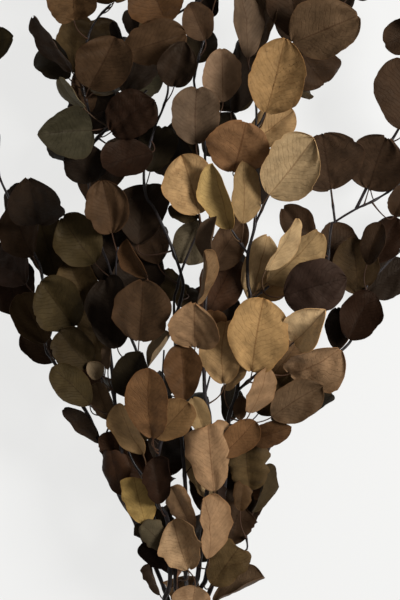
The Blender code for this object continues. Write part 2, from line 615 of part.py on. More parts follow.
def fuse(name, solids, solver="MANIFOLD"):
    """One Boolean union of a stem with everything that grows from it."""
    base = solids[0]
    bpy.context.scene.collection.objects.link(base)
    gathered = bpy.data.collections.new(name + "_growth")
    bpy.context.scene.collection.children.link(gathered)
    for solid in solids[1:]:
        gathered.objects.link(solid)
    union = base.modifiers.new("union", "BOOLEAN")
    union.operation = "UNION"
    union.operand_type = "COLLECTION"
    union.collection = gathered
    union.solver = solver
    bpy.context.view_layer.update()
    mesh = bpy.data.meshes.new_from_object(base.evaluated_get(bpy.context.evaluated_depsgraph_get()))
    for solid in solids:
        bpy.data.objects.remove(solid)
    bpy.data.collections.remove(gathered)
    dropped = keep_outer_body(mesh)
    mesh.name = name
    print(name, "triangles", len(mesh.polygons), "dropped shells of", dropped)
    return bpy.data.objects.new(name, mesh)


def plain_material(name, colour, roughness):
    material = bpy.data.materials.new(name)
    material.use_nodes = True
    shader = material.node_tree.nodes["Principled BSDF"]
    shader.inputs["Base Color"].default_value = (*colour, 1.0)
    shader.inputs["Roughness"].default_value = roughness
    shader.inputs["Metallic"].default_value = 0.0
    return material


def foot_tubes(limbs):
    """The woody foot and a fork stub for each limb: line, radii and sides."""
    line = [Vector(p) for p in FOOT]
    tubes = [(line[:3], FOOT_RADIUS, FOOT_RADIUS), (line[1:], FOOT_RADIUS, HEAD_RADIUS)]
    for limb in limbs:
        start = limb.stems[0][0][0]
        radius = limb.stems[0][1]
        tubes.append(([limb.fork, start - limb.away * LIMB_GAP], radius * 1.1, radius))
    return tubes


def main():
    for thing in list(bpy.data.objects):
        bpy.data.objects.remove(thing)
    branch = bpy.data.collections.new("eucalyptus_branch")
    bpy.context.scene.collection.children.link(branch)

    foot_line = [Vector(p) for p in FOOT]
    limbs = [Limb(name, foot_line) for name in LIMBS]
    room = Room()
    still = Vector((0.0, 0.0, 0.0))
    stems = [("woody_stem", foot_tubes(limbs), FOOT_SIDES)]
    stems += [(limb.name, limb.stems, LIMB_SIDES) for limb in limbs]
    for owner, tubes, sides in stems:
        for line, first, last in tubes:
            solid = tube("trial", line, first, last, sides, still)
            points = [v.co / MM for v in solid.data.vertices]
            room.add(owner, points, [tuple(f.vertices) for f in solid.data.polygons])
            bpy.data.objects.remove(solid)

    by_name = {limb.name: limb for limb in limbs}
    for name, foot, tip in RESTS:
        place_rest(by_name[name], room, foot, tip)
    missed = []
    for kind in "FMB":
        for limb in limbs:
            for row in LEAVES[limb.name]:
                if row[5] == kind and not place_row(limb, room, row):
                    missed.append((limb.name, row))
    print("no room for", missed)
    for limb in limbs:
        place_under(limb, room)

    points = [p for limb in limbs for leaf in limb.leaves for ring in leaf_rings(*leaf) for p in ring]
    points += [Vector((FOOT[0][0], FOOT[0][1], 0.0))]
    low, high = box_of(points)
    shift = Vector((-0.5 * (low[0] + high[0]), -0.5 * (low[1] + high[1]), 0.0))
    print("leaves", sum(len(limb.leaves) for limb in limbs), "box", low, high)

    bark = plain_material("bark", (0.028, 0.020, 0.018), 0.55)
    leafy = plain_material("dry_leaf", (0.16, 0.10, 0.055), 0.6)
    groups = [("woody_stem", foot_tubes(limbs), [], FOOT_SIDES, bark)]
    groups += [(limb.name, limb.stems, limb.leaves, LIMB_SIDES, leafy) for limb in limbs]
    for name, tubes, leaves, sides, material in groups:
        solids = [tube("stem", line, first, last, sides, shift) for line, first, last in tubes]
        solids += [leaf_solid("leaf", leaf, root, shift) for leaf, root in leaves]
        whole = fuse(name, solids)
        whole.data.materials.clear()
        whole.data.materials.append(material)
        branch.objects.link(whole)


main()
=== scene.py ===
# %% [markdown]
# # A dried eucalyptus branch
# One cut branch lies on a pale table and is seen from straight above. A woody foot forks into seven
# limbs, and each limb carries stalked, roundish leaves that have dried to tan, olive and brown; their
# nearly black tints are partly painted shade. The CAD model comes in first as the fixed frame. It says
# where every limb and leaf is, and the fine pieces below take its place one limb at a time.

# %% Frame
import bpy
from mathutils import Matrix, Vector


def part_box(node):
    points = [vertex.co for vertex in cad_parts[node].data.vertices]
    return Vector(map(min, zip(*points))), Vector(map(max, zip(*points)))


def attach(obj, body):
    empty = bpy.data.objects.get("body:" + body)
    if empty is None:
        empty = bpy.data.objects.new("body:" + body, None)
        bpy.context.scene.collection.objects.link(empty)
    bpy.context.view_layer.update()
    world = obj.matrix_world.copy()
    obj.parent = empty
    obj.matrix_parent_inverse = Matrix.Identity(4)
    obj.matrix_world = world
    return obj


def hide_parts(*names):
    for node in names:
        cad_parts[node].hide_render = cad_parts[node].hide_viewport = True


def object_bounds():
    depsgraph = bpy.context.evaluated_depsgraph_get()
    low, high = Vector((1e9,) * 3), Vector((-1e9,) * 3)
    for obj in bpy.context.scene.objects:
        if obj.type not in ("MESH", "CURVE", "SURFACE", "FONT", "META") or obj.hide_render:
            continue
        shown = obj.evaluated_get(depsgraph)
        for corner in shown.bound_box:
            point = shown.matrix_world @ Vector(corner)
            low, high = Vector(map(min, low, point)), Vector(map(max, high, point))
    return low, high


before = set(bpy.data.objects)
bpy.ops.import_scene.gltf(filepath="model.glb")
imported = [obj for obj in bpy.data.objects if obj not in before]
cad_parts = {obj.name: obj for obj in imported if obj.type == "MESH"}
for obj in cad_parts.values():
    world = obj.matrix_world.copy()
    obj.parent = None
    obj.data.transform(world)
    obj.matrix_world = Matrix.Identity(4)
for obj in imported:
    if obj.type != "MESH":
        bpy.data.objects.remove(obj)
cad_low, cad_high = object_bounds()
print("CAD box in mm", [round(1000 * a) for a in cad_low], [round(1000 * a) for a in cad_high])

# %% Tools
import math
import random

import bmesh
import bpy
import numpy as np
from mathutils import Quaternion, Vector
from mathutils.bvhtree import BVHTree

MM = 0.001
UP = Vector((0.0, 0.0, 1.0))
print("places are in millimetres until a mesh is made")

# %% [markdown]
# ## How the branch grows
# On the real branch a leaf grows where it finds light and room. The same rules that made the CAD model
# run here again with the same sizes and the same seed, so every fine leaf comes to lie where its plain
# one was. Stems are lists of points, and a leaf is the place of its foot, the place of its tip, its
# width, and whether it lies in front (F), among the stems (M) or behind (B).

# %% Sizes of stems and leaves
# Driving sizes, in millimetres
FOOT_RADIUS = 5.4          # woody foot at its cut end
HEAD_RADIUS = 3.6          # woody foot where its last limbs leave it
LIMB_SIDES = 6
STRAIGHT = 6.0             # how far a limb runs on in line with its fork stub
LIMB_GAP = 0.3             # between a stub and its limb
STALK_RADIUS = 0.65        # leaf stalk
BLADE_THICKNESS = 0.75
LONG_STALK = 26.0          # a stalk longer than this is bent in its middle
SKIN = 0.7                 # room kept round a blade towards other limbs
OWN_SKIN = 0.15            # room kept round a blade towards its own limb
ROOT_CLEAR = 4.5           # a stalk may touch its own limb this near to its root
TIP_CLEAR = 3.0            # no stalk leaves a stem nearer to its end
LOWEST = 2.5               # lowest place of a leaf that the branch doesn't rest on
STALK_REACH = 20.0         # how far below its blade a stalk leaves the stem

# Where a blade's sections lie along it, for blades up to a length
STATIONS = [
    (44.0, (0.30, 0.66, 0.99)),
    (72.0, (0.20, 0.48, 0.80, 0.99)),
    (999.0, (0.17, 0.40, 0.66, 0.88, 0.99)),
]

# The leaves are set out as seen from straight above. A near leaf looks larger and further out,
# so its place is drawn in along the line of sight.
EYE_HEIGHT = 3000.0
TRUE_LEVEL = 100.0         # the level where a millimetre looks like a millimetre
MIDDLE = Vector((0.0, 300.0, 0.0))

# How far a leaf lies above its stem, and how it is tilted, for leaves in front (F), among the
# stems (M) and behind (B)
LIFT = {"F": 24.0, "M": 5.0, "B": -20.0}
PITCH = {"F": 12.0, "M": 4.0, "B": -16.0}
# A leaf behind others is larger than what shows of it, in width and in length
FULLER = {"F": 1.02, "M": 1.16, "B": 1.4}
LONGER = {"F": 1.0, "M": 1.06, "B": 1.22}
SQUAT = 1.12               # a blade is at least this much longer than wide, or else it is tilted
SLENDER = 0.62             # and at least this wide for its length, or else it is rolled
FOLDS = (6.0, 34.0)        # fold along the midrib, in degrees
TIPS = (0.38, 0.66)        # how a blade narrows towards its tip: less is squarer
LOW_TIPS = (0.24, 0.42)    # the same for the old leaves near the foot
LOW_LEAVES = 140.0         # which have their feet below this y

# The woody foot, from its cut end to its head. Its end lies flat, on a side of its eight-sided tube.
FOOT_SIDES = 8
FOOT_LEVEL = FOOT_RADIUS * math.cos(math.pi / FOOT_SIDES)
FOOT = [(-6, -100, FOOT_LEVEL), (-6, -84, FOOT_LEVEL), (-6, -76, FOOT_LEVEL), (-8, -50, 17), (-11, -28, 33),
        (-12, -6, 50)]
print("driving sizes named")

# %% Limbs
# Each limb: how far along the foot it leaves (0 to 1), then its stems. A stem is a list of points
# from its root to its tip, with the radii at both ends. The first stem starts at the foot.
LIMBS = {
    "limb_far_left": (0.50, [
        ([(-26, -12, 36), (-40, 22, 48), (-55, 56, 58), (-68, 84, 64), (-81, 105, 66), (-99, 154, 66),
          (-108, 177, 65), (-116, 192, 64), (-146, 238, 58), (-155, 257, 56), (-158, 324, 52),
          (-167, 349, 50), (-178, 375, 49), (-190, 400, 48), (-201, 424, 48), (-212, 458, 50),
          (-219, 496, 52), (-222, 535, 54)], 2.3, 0.9),
        ([(-99, 154, 66), (-90, 176, 70)], 1.1, 0.9),
    ]),
    "limb_left": (0.72, [
        ([(-22, 6, 62), (-26, 40, 74), (-37, 58, 80), (-54, 98, 90), (-71, 120, 98), (-78, 139, 104),
          (-79, 159, 106), (-83, 184, 106), (-86, 205, 102), (-88, 230, 94), (-95, 290, 76),
          (-104, 350, 70), (-111, 415, 74), (-111, 447, 80), (-110, 472, 86), (-111, 488, 90),
          (-117, 511, 93), (-118, 530, 95), (-112, 562, 97), (-103, 581, 97), (-89, 596, 96)], 2.5, 0.9),
        ([(-50, 88, 87), (-56, 120, 86), (-65, 135, 86), (-77, 159, 88), (-87, 177, 90),
          (-97, 184, 90), (-109, 194, 92)], 1.6, 0.9),
        ([(-87, 177, 90), (-95, 213, 84), (-106, 234, 82), (-116, 251, 80), (-127, 272, 78)], 1.4, 1.0),
        ([(-111, 447, 80), (-106, 458, 86), (-89, 475, 96), (-53, 510, 98)], 1.8, 1.0),
        ([(-118, 522, 94), (-78, 555, 102), (-53, 568, 104), (-15, 591, 105), (2, 601, 104)], 1.8, 1.0),
    ]),
    "limb_left_middle": (0.62, [
        ([(-33, -2, 60), (-30, 20, 74), (-33, 81, 100), (-43, 98, 104), (-43, 140, 110), (-35, 180, 116),
          (-45, 220, 122), (-61, 236, 126), (-64, 250, 128), (-70, 265, 129), (-77, 290, 128),
          (-84, 310, 126), (-92, 337, 121), (-98, 352, 116), (-106, 385, 108)], 2.4, 1.0),
        ([(-35, 180, 116), (-38, 210, 106), (-36, 250, 104)], 1.3, 0.9),
        ([(-35, 180, 116), (-25, 202, 118)], 1.1, 0.9),
        ([(-84, 310, 126), (-84, 334, 132), (-82, 353, 134)], 1.1, 0.9),
    ]),
    "limb_middle": (0.88, [
        ([(-14, 20, 78), (-14, 100, 100), (-20, 180, 106), (-24, 240, 110), (-26, 297, 116),
          (-23, 311, 119), (-19, 328, 121), (-8, 355, 124), (0, 373, 124), (-1, 386, 123)], 2.3, 1.0),
        ([(-25, 280, 114), (-17, 311, 128), (-19, 326, 132), (-23, 339, 134), (-29, 355, 135),
          (-35, 369, 134), (-46, 392, 130), (-54, 404, 126), (-56, 430, 122), (-50, 455, 120),
          (-44, 476, 121), (-37, 492, 123), (-32, 516, 122), (-44, 548, 118)], 1.7, 1.0),
    ]),
    "limb_centre": (1.0, [
        ([(-4, 18, 70), (2, 60, 84), (8, 120, 96), (10, 178, 112), (5, 205, 120), (4, 247, 126),
          (5, 290, 129), (8, 326, 130), (6, 353, 131), (10, 379, 129), (9, 396, 125), (6, 420, 116),
          (5, 442, 111), (4, 462, 111), (-5, 511, 112), (-5, 526, 110), (4, 560, 108), (12, 580, 106)],
         2.5, 1.0),
        ([(5, 205, 120), (10, 224, 122)], 1.1, 0.9),
    ]),
    "limb_right_middle": (0.94, [
        ([(2, 14, 58), (14, 60, 74), (24, 108, 92), (28, 176, 110), (37, 209, 114), (40, 242, 116),
          (50, 299, 120), (48, 317, 122), (48, 346, 124), (55, 376, 124), (53, 400, 122),
          (52, 420, 120), (56, 466, 118), (64, 484, 118), (78, 520, 116), (93, 556, 112),
          (118, 574, 108), (142, 584, 104)], 2.5, 0.9),
        ([(37, 209, 114), (51, 221, 118), (76, 242, 121), (94, 258, 122)], 1.6, 0.9),
        ([(76, 242, 121), (82, 262, 124), (91, 270, 124)], 1.1, 0.9),
        ([(55, 376, 124), (69, 405, 129)], 1.3, 1.0),
        ([(48, 346, 124), (31, 371, 130)], 1.3, 1.0),
        ([(56, 466, 118), (56, 496, 114), (50, 532, 112)], 1.4, 1.0),
        ([(50, 299, 120), (69, 314, 126)], 1.2, 0.9),
        ([(14, 60, 74), (38, 48, 80), (47, 51, 82), (46, 65, 84)], 1.2, 0.9),
    ]),
    "limb_right": (0.80, [
        ([(4, 0, 40), (34, 70, 56), (66, 146, 66), (102, 225, 70), (124, 310, 74), (131, 371, 80),
          (135, 378, 82), (156, 391, 84), (175, 400, 83), (200, 416, 80), (216, 430, 76)], 2.4, 0.9),
        ([(135, 378, 82), (131, 410, 90)], 1.3, 1.0),
        ([(156, 391, 84), (182, 443, 90), (200, 474, 92), (210, 500, 92), (218, 535, 90), (220, 566, 88)],
         1.7, 1.0),
        ([(168, 415, 87), (170, 424, 92)], 1.1, 0.9),
        ([(102, 225, 70), (150, 258, 62), (164, 308, 56), (185, 334, 54), (200, 349, 52), (212, 362, 50)],
         1.6, 0.9),
    ]),
}
print("limbs", len(LIMBS))

# %% Leaf rows
# Leaves: foot of the blade x, y, its tip x, y, the width that shows, and F, M or B
LEAVES = {
    "limb_far_left": [
        (-224, 550, -189, 562, 34, "M"), (-162, 376, -172, 422, 62, "F"), (-167, 344, -190, 392, 40, "M"),
        (-174, 316, -196, 357, 46, "M"), (-180, 286, -198, 332, 36, "B"), (-144, 323, -158, 374, 34, "B"),
        (-155, 257, -178, 304, 36, "M"), (-146, 238, -172, 264, 24, "B"), (-79, 105, -90, 150, 25, "F"),
        (-18, 28, -60, 54, 26, "F"), (-100, 158, -136, 192, 16, "F"), (-16, -8, -8, 20, 34, "M"),
        (-228, 480, -234, 524, 36, "B"), (-219, 500, -240, 548, 44, "M"), (-230, 560, -242, 612, 36, "F"),
        (-206, 440, -238, 474, 40, "M"),
    ],
    "limb_left": [
        (-126, 580, -132, 632, 58, "F"), (-128, 528, -169, 583, 14, "F"), (-130, 520, -153, 546, 28, "B"),
        (-122, 526, -108, 580, 52, "M"), (-111, 512, -85, 563, 55, "F"), (-72, 500, -50, 534, 30, "B"),
        (-76, 547, -14, 567, 48, "F"), (-60, 566, -50, 583, 18, "B"), (-33, 578, -52, 630, 56, "F"),
        (-78, 556, -87, 577, 9, "M"), (-68, 564, -70, 586, 14, "B"), (-89, 468, -47, 500, 50, "F"),
        (-107, 468, -159, 465, 54, "M"), (-114, 443, -138, 484, 22, "F"), (-111, 417, -118, 458, 44, "F"),
        (-97, 450, -74, 461, 12, "F"), (-116, 492, -142, 522, 11, "F"), (-112, 488, -124, 528, 22, "M"),
        (-110, 488, -96, 510, 18, "B"), (-108, 294, -132, 341, 43, "F"), (-126, 273, -160, 318, 55, "F"),
        (-97, 239, -114, 288, 32, "M"), (-109, 234, -138, 268, 36, "M"), (-110, 196, -148, 232, 32, "F"),
        (-110, 194, -112, 238, 24, "B"), (-100, 222, -111, 238, 18, "F"), (-92, 230, -90, 255, 11, "F"),
        (-89, 180, -103, 215, 18, "M"), (-68, 200, -58, 246, 44, "M"), (-57, 146, -81, 197, 27, "F"),
        (-79, 140, -92, 166, 24, "M"), (-54, 120, -70, 155, 30, "B"), (-54, 76, -66, 122, 31, "F"),
        (-32, 51, -58, 77, 24, "F"), (-12, 31, -27, 81, 42, "F"), (-23, 22, -24, 43, 8, "F"),
        (-88, 597, -112, 648, 46, "M"), (-86, 598, -66, 640, 38, "B"), (4, 602, 22, 650, 40, "M"),
        (-108, 466, -100, 510, 42, "B"), (-76, 505, -66, 548, 40, "B"), (-74, 455, -66, 492, 34, "B"),
        (-112, 398, -98, 440, 42, "B"), (-38, 124, -24, 156, 26, "B"),
    ],
    "limb_left_middle": [
        (-88, 367, -98, 420, 49, "F"), (-105, 337, -136, 381, 44, "M"), (-61, 259, -57, 321, 60, "F"),
        (-53, 322, -73, 361, 19, "F"), (-65, 300, -80, 358, 40, "B"), (-82, 252, -92, 310, 32, "B"),
        (-52, 233, -30, 267, 9, "F"), (-47, 163, -50, 228, 34, "M"), (-45, 163, -11, 198, 36, "F"),
        (-43, 138, -16, 170, 42, "B"), (-40, 97, -48, 139, 24, "M"), (-40, 4, -49, 34, 9, "M"),
        (-30, 78, -29, 95, 8, "M"), (-98, 318, -90, 364, 40, "B"), (-70, 298, -58, 342, 38, "B"),
    ],
    "limb_middle": [
        (-26, 513, -16, 555, 38, "M"), (-48, 448, -94, 435, 36, "M"), (-50, 428, -40, 466, 28, "B"),
        (-1, 386, -18, 445, 54, "F"), (-2, 382, -30, 392, 16, "M"), (-62, 355, -54, 404, 36, "B"),
        (-1, 380, -15, 338, 33, "M"), (-14, 306, -40, 318, 24, "B"), (-22, 293, -12, 310, 18, "B"),
        (-42, 336, -50, 368, 30, "B"), (-5, 253, -6, 296, 52, "F"), (-16, 200, -20, 256, 40, "F"),
        (-7, 70, -28, 113, 23, "F"), (-5, 14, -12, -24, 42, "F"),
    ],
    "limb_centre": [
        (5, 560, -10, 595, 30, "M"), (-4, 456, -3, 514, 49, "F"), (-2, 440, -32, 458, 36, "B"),
        (23, 498, 22, 549, 35, "M"), (6, 444, 28, 480, 24, "B"), (-4, 538, 4, 567, 26, "B"),
        (12, 584, 5, 612, 22, "M"), (10, 336, 16, 383, 16, "F"), (13, 332, 43, 378, 36, "M"),
        (8, 286, 32, 332, 32, "B"), (24, 216, 26, 276, 38, "M"), (8, 254, 14, 288, 24, "M"),
        (-4, 295, 3, 350, 14, "F"), (5, 168, -7, 201, 22, "M"), (13, 100, -10, 147, 26, "M"),
        (9, 42, 4, 104, 35, "F"), (18, 606, 38, 650, 42, "F"), (12, 84, 18, 132, 38, "B"),
    ],
    "limb_right_middle": [
        (47, 542, 40, 608, 28, "M"), (50, 545, 68, 610, 32, "M"), (93, 557, 160, 585, 68, "F"),
        (90, 558, 85, 592, 22, "B"), (96, 555, 120, 523, 37, "B"), (66, 487, 85, 562, 60, "F"),
        (51, 457, 92, 488, 36, "M"), (31, 487, 40, 545, 26, "B"), (33, 428, 45, 474, 54, "M"),
        (69, 405, 114, 462, 60, "F"), (145, 585, 130, 625, 30, "B"), (30, 371, 11, 436, 32, "F"),
        (43, 376, 42, 434, 17, "M"), (58, 395, 62, 440, 14, "B"), (66, 330, 97, 382, 24, "F"),
        (67, 317, 118, 366, 30, "M"), (52, 297, 67, 362, 26, "M"), (58, 302, 88, 326, 26, "M"),
        (84, 304, 146, 322, 58, "F"), (23, 274, 30, 298, 16, "B"), (52, 228, 64, 302, 59, "F"),
        (94, 258, 125, 290, 50, "F"), (90, 226, 139, 250, 50, "M"), (72, 224, 94, 253, 24, "B"),
        (72, 183, 122, 214, 40, "F"), (50, 187, 67, 232, 26, "F"), (25, 209, 39, 278, 11, "F"),
        (28, 178, 30, 209, 15, "B"), (14, 109, 8, 175, 44, "F"), (22, 144, 55, 179, 30, "F"),
        (50, 159, 91, 172, 27, "F"), (31, 55, 40, 92, 28, "M"), (32, 55, 52, 94, 20, "B"),
        (12, 15, 40, 54, 34, "F"), (19, 92, 17, 114, 8, "F"), (40, 90, 43, 116, 13, "M"),
        (40, 180, 42, 203, 14, "M"), (98, 562, 84, 632, 50, "M"), (150, 606, 180, 640, 42, "M"),
        (42, 72, 48, 118, 26, "B"), (58, 186, 84, 220, 34, "B"),
    ],
    "limb_right": [
        (131, 410, 123, 463, 58, "M"), (169, 411, 186, 462, 52, "M"), (204, 470, 203, 539, 50, "M"),
        (221, 568, 187, 558, 33, "M"), (112, 358, 84, 391, 31, "M"), (118, 342, 147, 364, 30, "B"),
        (158, 307, 151, 358, 38, "M"), (167, 336, 182, 377, 22, "F"), (173, 338, 197, 380, 32, "M"),
        (194, 384, 206, 414, 27, "M"), (166, 307, 199, 332, 32, "B"), (148, 261, 172, 304, 38, "M"),
        (72, 178, 122, 201, 24, "B"), (138, 250, 137, 285, 22, "B"), (50, 111, 46, 155, 44, "F"),
        (53, 88, 63, 133, 14, "M"), (13, -2, 65, 22, 19, "F"), (220, 568, 232, 616, 44, "F"),
        (218, 434, 234, 484, 44, "M"), (212, 364, 236, 404, 40, "M"),
    ],
}
print("rows of leaves", len(LEAVES))

# %% Rules of growth
# The two leaves whose tips the branch rests on, with its cut end: limb, foot x, y, z, tip x, y
RESTS = [
    ("limb_far_left", (-188, 372, 38), (-176, 418)),
    ("limb_right", (174, 412, 44), (166, 462)),
]
REST_WIDTH = 44.0

# Leaves of the underside, which grow by rule: every so often along each main stem
UNDER_STEP = 64.0
UNDER_LENGTH = (44.0, 60.0)
UNDER_SHAPE = (0.72, 0.92)     # width over length
UNDER_DROP = (35.0, 70.0)      # degrees below the surface's plane
UNDER_SPREAD = (35.0, 75.0)    # degrees away from the stem

SEED = 13

# Ways that a leaf may give way to others: raised by millimetres, tilted and rolled by degrees
OWN_COST = 60.0            # crossing a leaf of the same limb counts like this many millimetres
RAISES = (0, -4, 4, -8, 8, -13, 13, -19, 19, -26, 26)
TILTS = (0, -12, 12, -25, 25)
ROLLS = (0, 18, -18)
print("seed", SEED)

# %% [markdown]
# ## Leaf tints
# Leaves of one branch dry at their own pace, to tan, olive and brown. Each leaf gets a short code here,
# in the order of the rows above, and the code stands for its colour as it looks in the light. So the
# tints hold painted shade and light besides the leaves' own colours: the nearly black codes and the
# darker tints of the leaves on the left-hand limbs are painted shade, and TH is a painted highlight.

# %% Tints
# K, KO, KR, DK and PK are near black for the deep shade among the leaves: painted shade. TH is a painted
# highlight.
TINT = {
    "T": (150, 120, 82), "TL": (169, 142, 103), "TG": (148, 117, 76), "TO": (130, 106, 72),
    "TY": (156, 130, 82), "TC": (146, 120, 70), "TT": (146, 119, 88), "TB": (116, 90, 62),
    "TR": (134, 105, 76), "TS": (138, 108, 70), "TS2": (158, 134, 99), "R": (132, 97, 66),
    "RM": (104, 74, 47), "RP": (134, 106, 78), "M": (83, 61, 39), "MO": (74, 58, 35),
    "MT": (108, 81, 51), "MR": (78, 54, 33), "MP": (86, 67, 48), "PP": (121, 90, 70), "P": (82, 66, 51),
    "PL": (118, 101, 78), "PB": (74, 55, 39), "PT": (128, 103, 80), "PD": (61, 47, 36),
    "PK": (38, 28, 23), "D": (51, 36, 24), "DT": (56, 41, 29), "DO": (48, 38, 22), "DR": (51, 32, 20),
    "DP": (45, 32, 26), "DK": (35, 25, 17), "O": (53, 43, 24), "OD": (48, 41, 24), "OB": (58, 44, 27),
    "OM": (64, 50, 30), "G": (69, 61, 45), "GD": (50, 46, 33), "GL": (107, 99, 76), "K": (26, 18, 12),
    "KO": (30, 24, 14), "KR": (34, 20, 12), "MD": (66, 48, 32), "GM": (90, 80, 62),
    "TH": (194, 165, 124),
}
SCALLOPED = ("TS", "TS2")     # leaves with a wavy cut edge
CRINKLED = ("TC", "TT")       # leaves that dried crinkled
# The underside leaves lie under others and get only dark tints: painted shade.
UNDER_SHADE_TINTS = ("K", "D", "DO", "DR", "DK", "KO")
# Leaves in shade, most of all on the left-hand limbs, get darker codes than their own colour (painted shade),
# and a few leaves that the lamp leaves dark get brighter ones (painted light).
TINTS = {
    "limb_far_left": "OD DK D DP KR DO OB D DR KR DK RP DO D O D".split(),
    "limb_left": ("M D KO MO MD GD MD MO MR K K KR GD K K P GL PB K OM O OM"
        " DO O DR PL P MP KO T DR DR TC G TT PP M M MO DK K K D DR").split(),
    "limb_left_middle": "MD O MD MR K K PL RM MT K KR P K K K".split(),
    "limb_middle": "DK KR KO T DO DK GM DO DO D TR MR TR RP".split(),
    "limb_centre": "PB P DO PT KO DO K P PB DR T RM TB TO TL TR M DK".split(),
    "limb_right_middle": ("P P MP PD D TS T K R TS2 K TY TO K TL TO TL T DP K TG"
        " TH RP M MP TR T KO TR RM MR D D MO PK M PB D D DR MO").split(),
    "limb_right": "DT DT D DT D D OB D KR D K KR KO K MO DO MP D MO D".split(),
}
print("leaves set out by hand", sum(len(rows) for rows in LEAVES.values()))
for name, rows in LEAVES.items():
    assert len(rows) == len(TINTS[name]), name

# %% [markdown]
# ## The plain leaf
# A leaf is known by its foot, its tip, its width and how it is turned. The fold along the midrib, the
# arch, the twist and how blunt it is are drawn with a seed of its own, so they stay the same whatever
# is done to other leaves.

# %% Plain leaf
def seen_from_above(x, y, level):
    """The place at a level that looks to be at x, y on the true level."""
    scale = (EYE_HEIGHT - level) / (EYE_HEIGHT - TRUE_LEVEL)
    flat = MIDDLE + (Vector((x, y, 0.0)) - MIDDLE) * scale
    return Vector((flat.x, flat.y, level))


def outline(v, blunt):
    """Half width of a blade, 0 to 1, at v from its foot (0) to its tip (1)."""
    return 1.76 * v ** 0.5 * max(0.0, 1.0 - v ** 1.7) ** blunt


class Leaf:
    """A blade's place and form: where its foot and tip are, how it is turned, folded and arched."""

    def __init__(self, foot, tip, width, roll, draw):
        self.foot = foot
        self.length = (tip - foot).length
        self.width = width
        self.along = (tip - foot).normalized()
        flat = self.along.cross(UP)
        if flat.length < 0.05:
            flat = Vector((1.0, 0.0, 0.0))
        turn = Quaternion(self.along, math.radians(roll))
        self.across = turn @ flat.normalized()
        self.normal = self.across.cross(self.along)
        self.fold = math.radians(draw.uniform(*FOLDS))
        self.arch = draw.uniform(-0.05, 0.09)
        self.twist = draw.uniform(-0.10, 0.10)
        self.blunt = draw.uniform(*(LOW_TIPS if foot.y < LOW_LEAVES else TIPS))

    def point(self, u, v):
        """The middle of the blade's thickness, u from -1 to 1 across and v from 0 to 1 along."""
        half = 0.5 * self.width * outline(v, self.blunt)
        side = u * half * math.cos(self.fold)
        lift = abs(u) * half * math.sin(self.fold)
        lift += self.arch * self.length * math.sin(math.pi * v)
        lift += self.twist * u * half * (2.0 * v - 1.0)
        return self.foot + self.along * (v * self.length) + self.across * side + self.normal * lift
print("half width at the middle", round(outline(0.5, 0.6), 3))

# %% [markdown]
# While the branch grows, a leaf is tried as a simple faceted body. Only the fine pieces further down
# are shown.

# %% Faceted leaf
def stalk_ring(middle, toward, normal, radius):
    """Three points round a stalk: left, top and right."""
    toward = toward.normalized()
    side = toward.cross(normal).normalized()
    top = side.cross(toward)
    ring = []
    for angle in (210, 90, -30):
        turn = math.radians(angle)
        ring.append(middle + radius * (side * math.cos(turn) + top * math.sin(turn)))
    return ring


def blade_ring(leaf, v, skin):
    """Six points round a blade's section: left, middle and right above, then right to left below."""
    half = leaf.normal * (0.5 * BLADE_THICKNESS + skin)
    ahead = leaf.along * (v * skin)
    line = [leaf.point(u, v) + leaf.across * (u * skin) + ahead for u in (-1.0, 0.0, 1.0)]
    return [p + half for p in line] + [p - half for p in reversed(line)]


def leaf_rings(leaf, root, skin=0.0):
    """Sections from the stalk's root to the blade's tip; skin makes the blade thicker all round."""
    reach = leaf.foot - root
    bend = leaf.foot - leaf.along * (0.45 * reach.length)
    radius = STALK_RADIUS + skin
    rings = [stalk_ring(root, bend - root, leaf.normal, radius)]
    if reach.length > LONG_STALK:
        rings.append(stalk_ring(0.25 * root + 0.5 * bend + 0.25 * leaf.foot, reach, leaf.normal, radius))
    rings.append(stalk_ring(leaf.foot, leaf.along, leaf.normal, radius))
    stations = [s for size, s in STATIONS if leaf.length <= size][0]
    return rings + [blade_ring(leaf, v, skin) for v in stations]


def between(a, b, near, far):
    """Triangles between two sections, from the first point of each."""
    if far == 3:
        return [(a + i, b + i, b + (i + 1) % 3) for i in range(3)] + [
            (a + i, b + (i + 1) % 3, a + (i + 1) % 3) for i in range(3)]
    if near == 3:
        left, top, right = a, a + 1, a + 2
        return [(left, b, b + 1), (left, b + 1, top), (top, b + 1, b + 2), (top, b + 2, right),
                (right, b + 2, b + 3), (right, b + 3, b + 4), (right, b + 4, left), (left, b + 4, b + 5),
                (left, b + 5, b)]
    faces = []
    for middle, edge in ((1, 0), (1, 2), (4, 5), (4, 3), (2, 3), (5, 0)):
        faces.append((a + middle, b + middle, b + edge))
        faces.append((a + middle, b + edge, a + edge))
    return faces


def loft(rings):
    """Points and triangles of a closed body through the rings, split alike above and below."""
    points = [p for ring in rings for p in ring]
    faces = [(0, 1, 2)]
    start = 0
    for near, far in zip(rings, rings[1:]):
        faces += between(start, start + len(near), len(near), len(far))
        start += len(near)
    tip = ((0, 1, 5), (1, 4, 5), (1, 2, 3), (1, 3, 4))
    return points, faces + [tuple(start + i for i in ends) for ends in tip]
print("a faceted blade has six points in each section")

# %% [markdown]
# ## A limb and its room
# A limb knows its stems, and finds the place on them where a stalk should leave. Room keeps a search
# tree of every body that is in place, so that a new leaf can be tried against all of them.

# %% Limb
def nearest_on(points, place):
    """Nearest point of a line of points to a place, as distance and point."""
    best = (1e9, points[0])
    for a, b in zip(points, points[1:]):
        span = b - a
        share = max(0.0, min(1.0, (place - a).dot(span) / span.length_squared))
        spot = a + span * share
        gap = (place - spot).length
        if gap < best[0]:
            best = (gap, spot)
    return best


def cut_short(points):
    """A stem's line without the last bit at both ends, where a root wouldn't be sunk in."""
    first = points[0] + (points[1] - points[0]).normalized() * TIP_CLEAR
    last = points[-1] + (points[-2] - points[-1]).normalized() * TIP_CLEAR
    return [first] + points[1:-1] + [last]


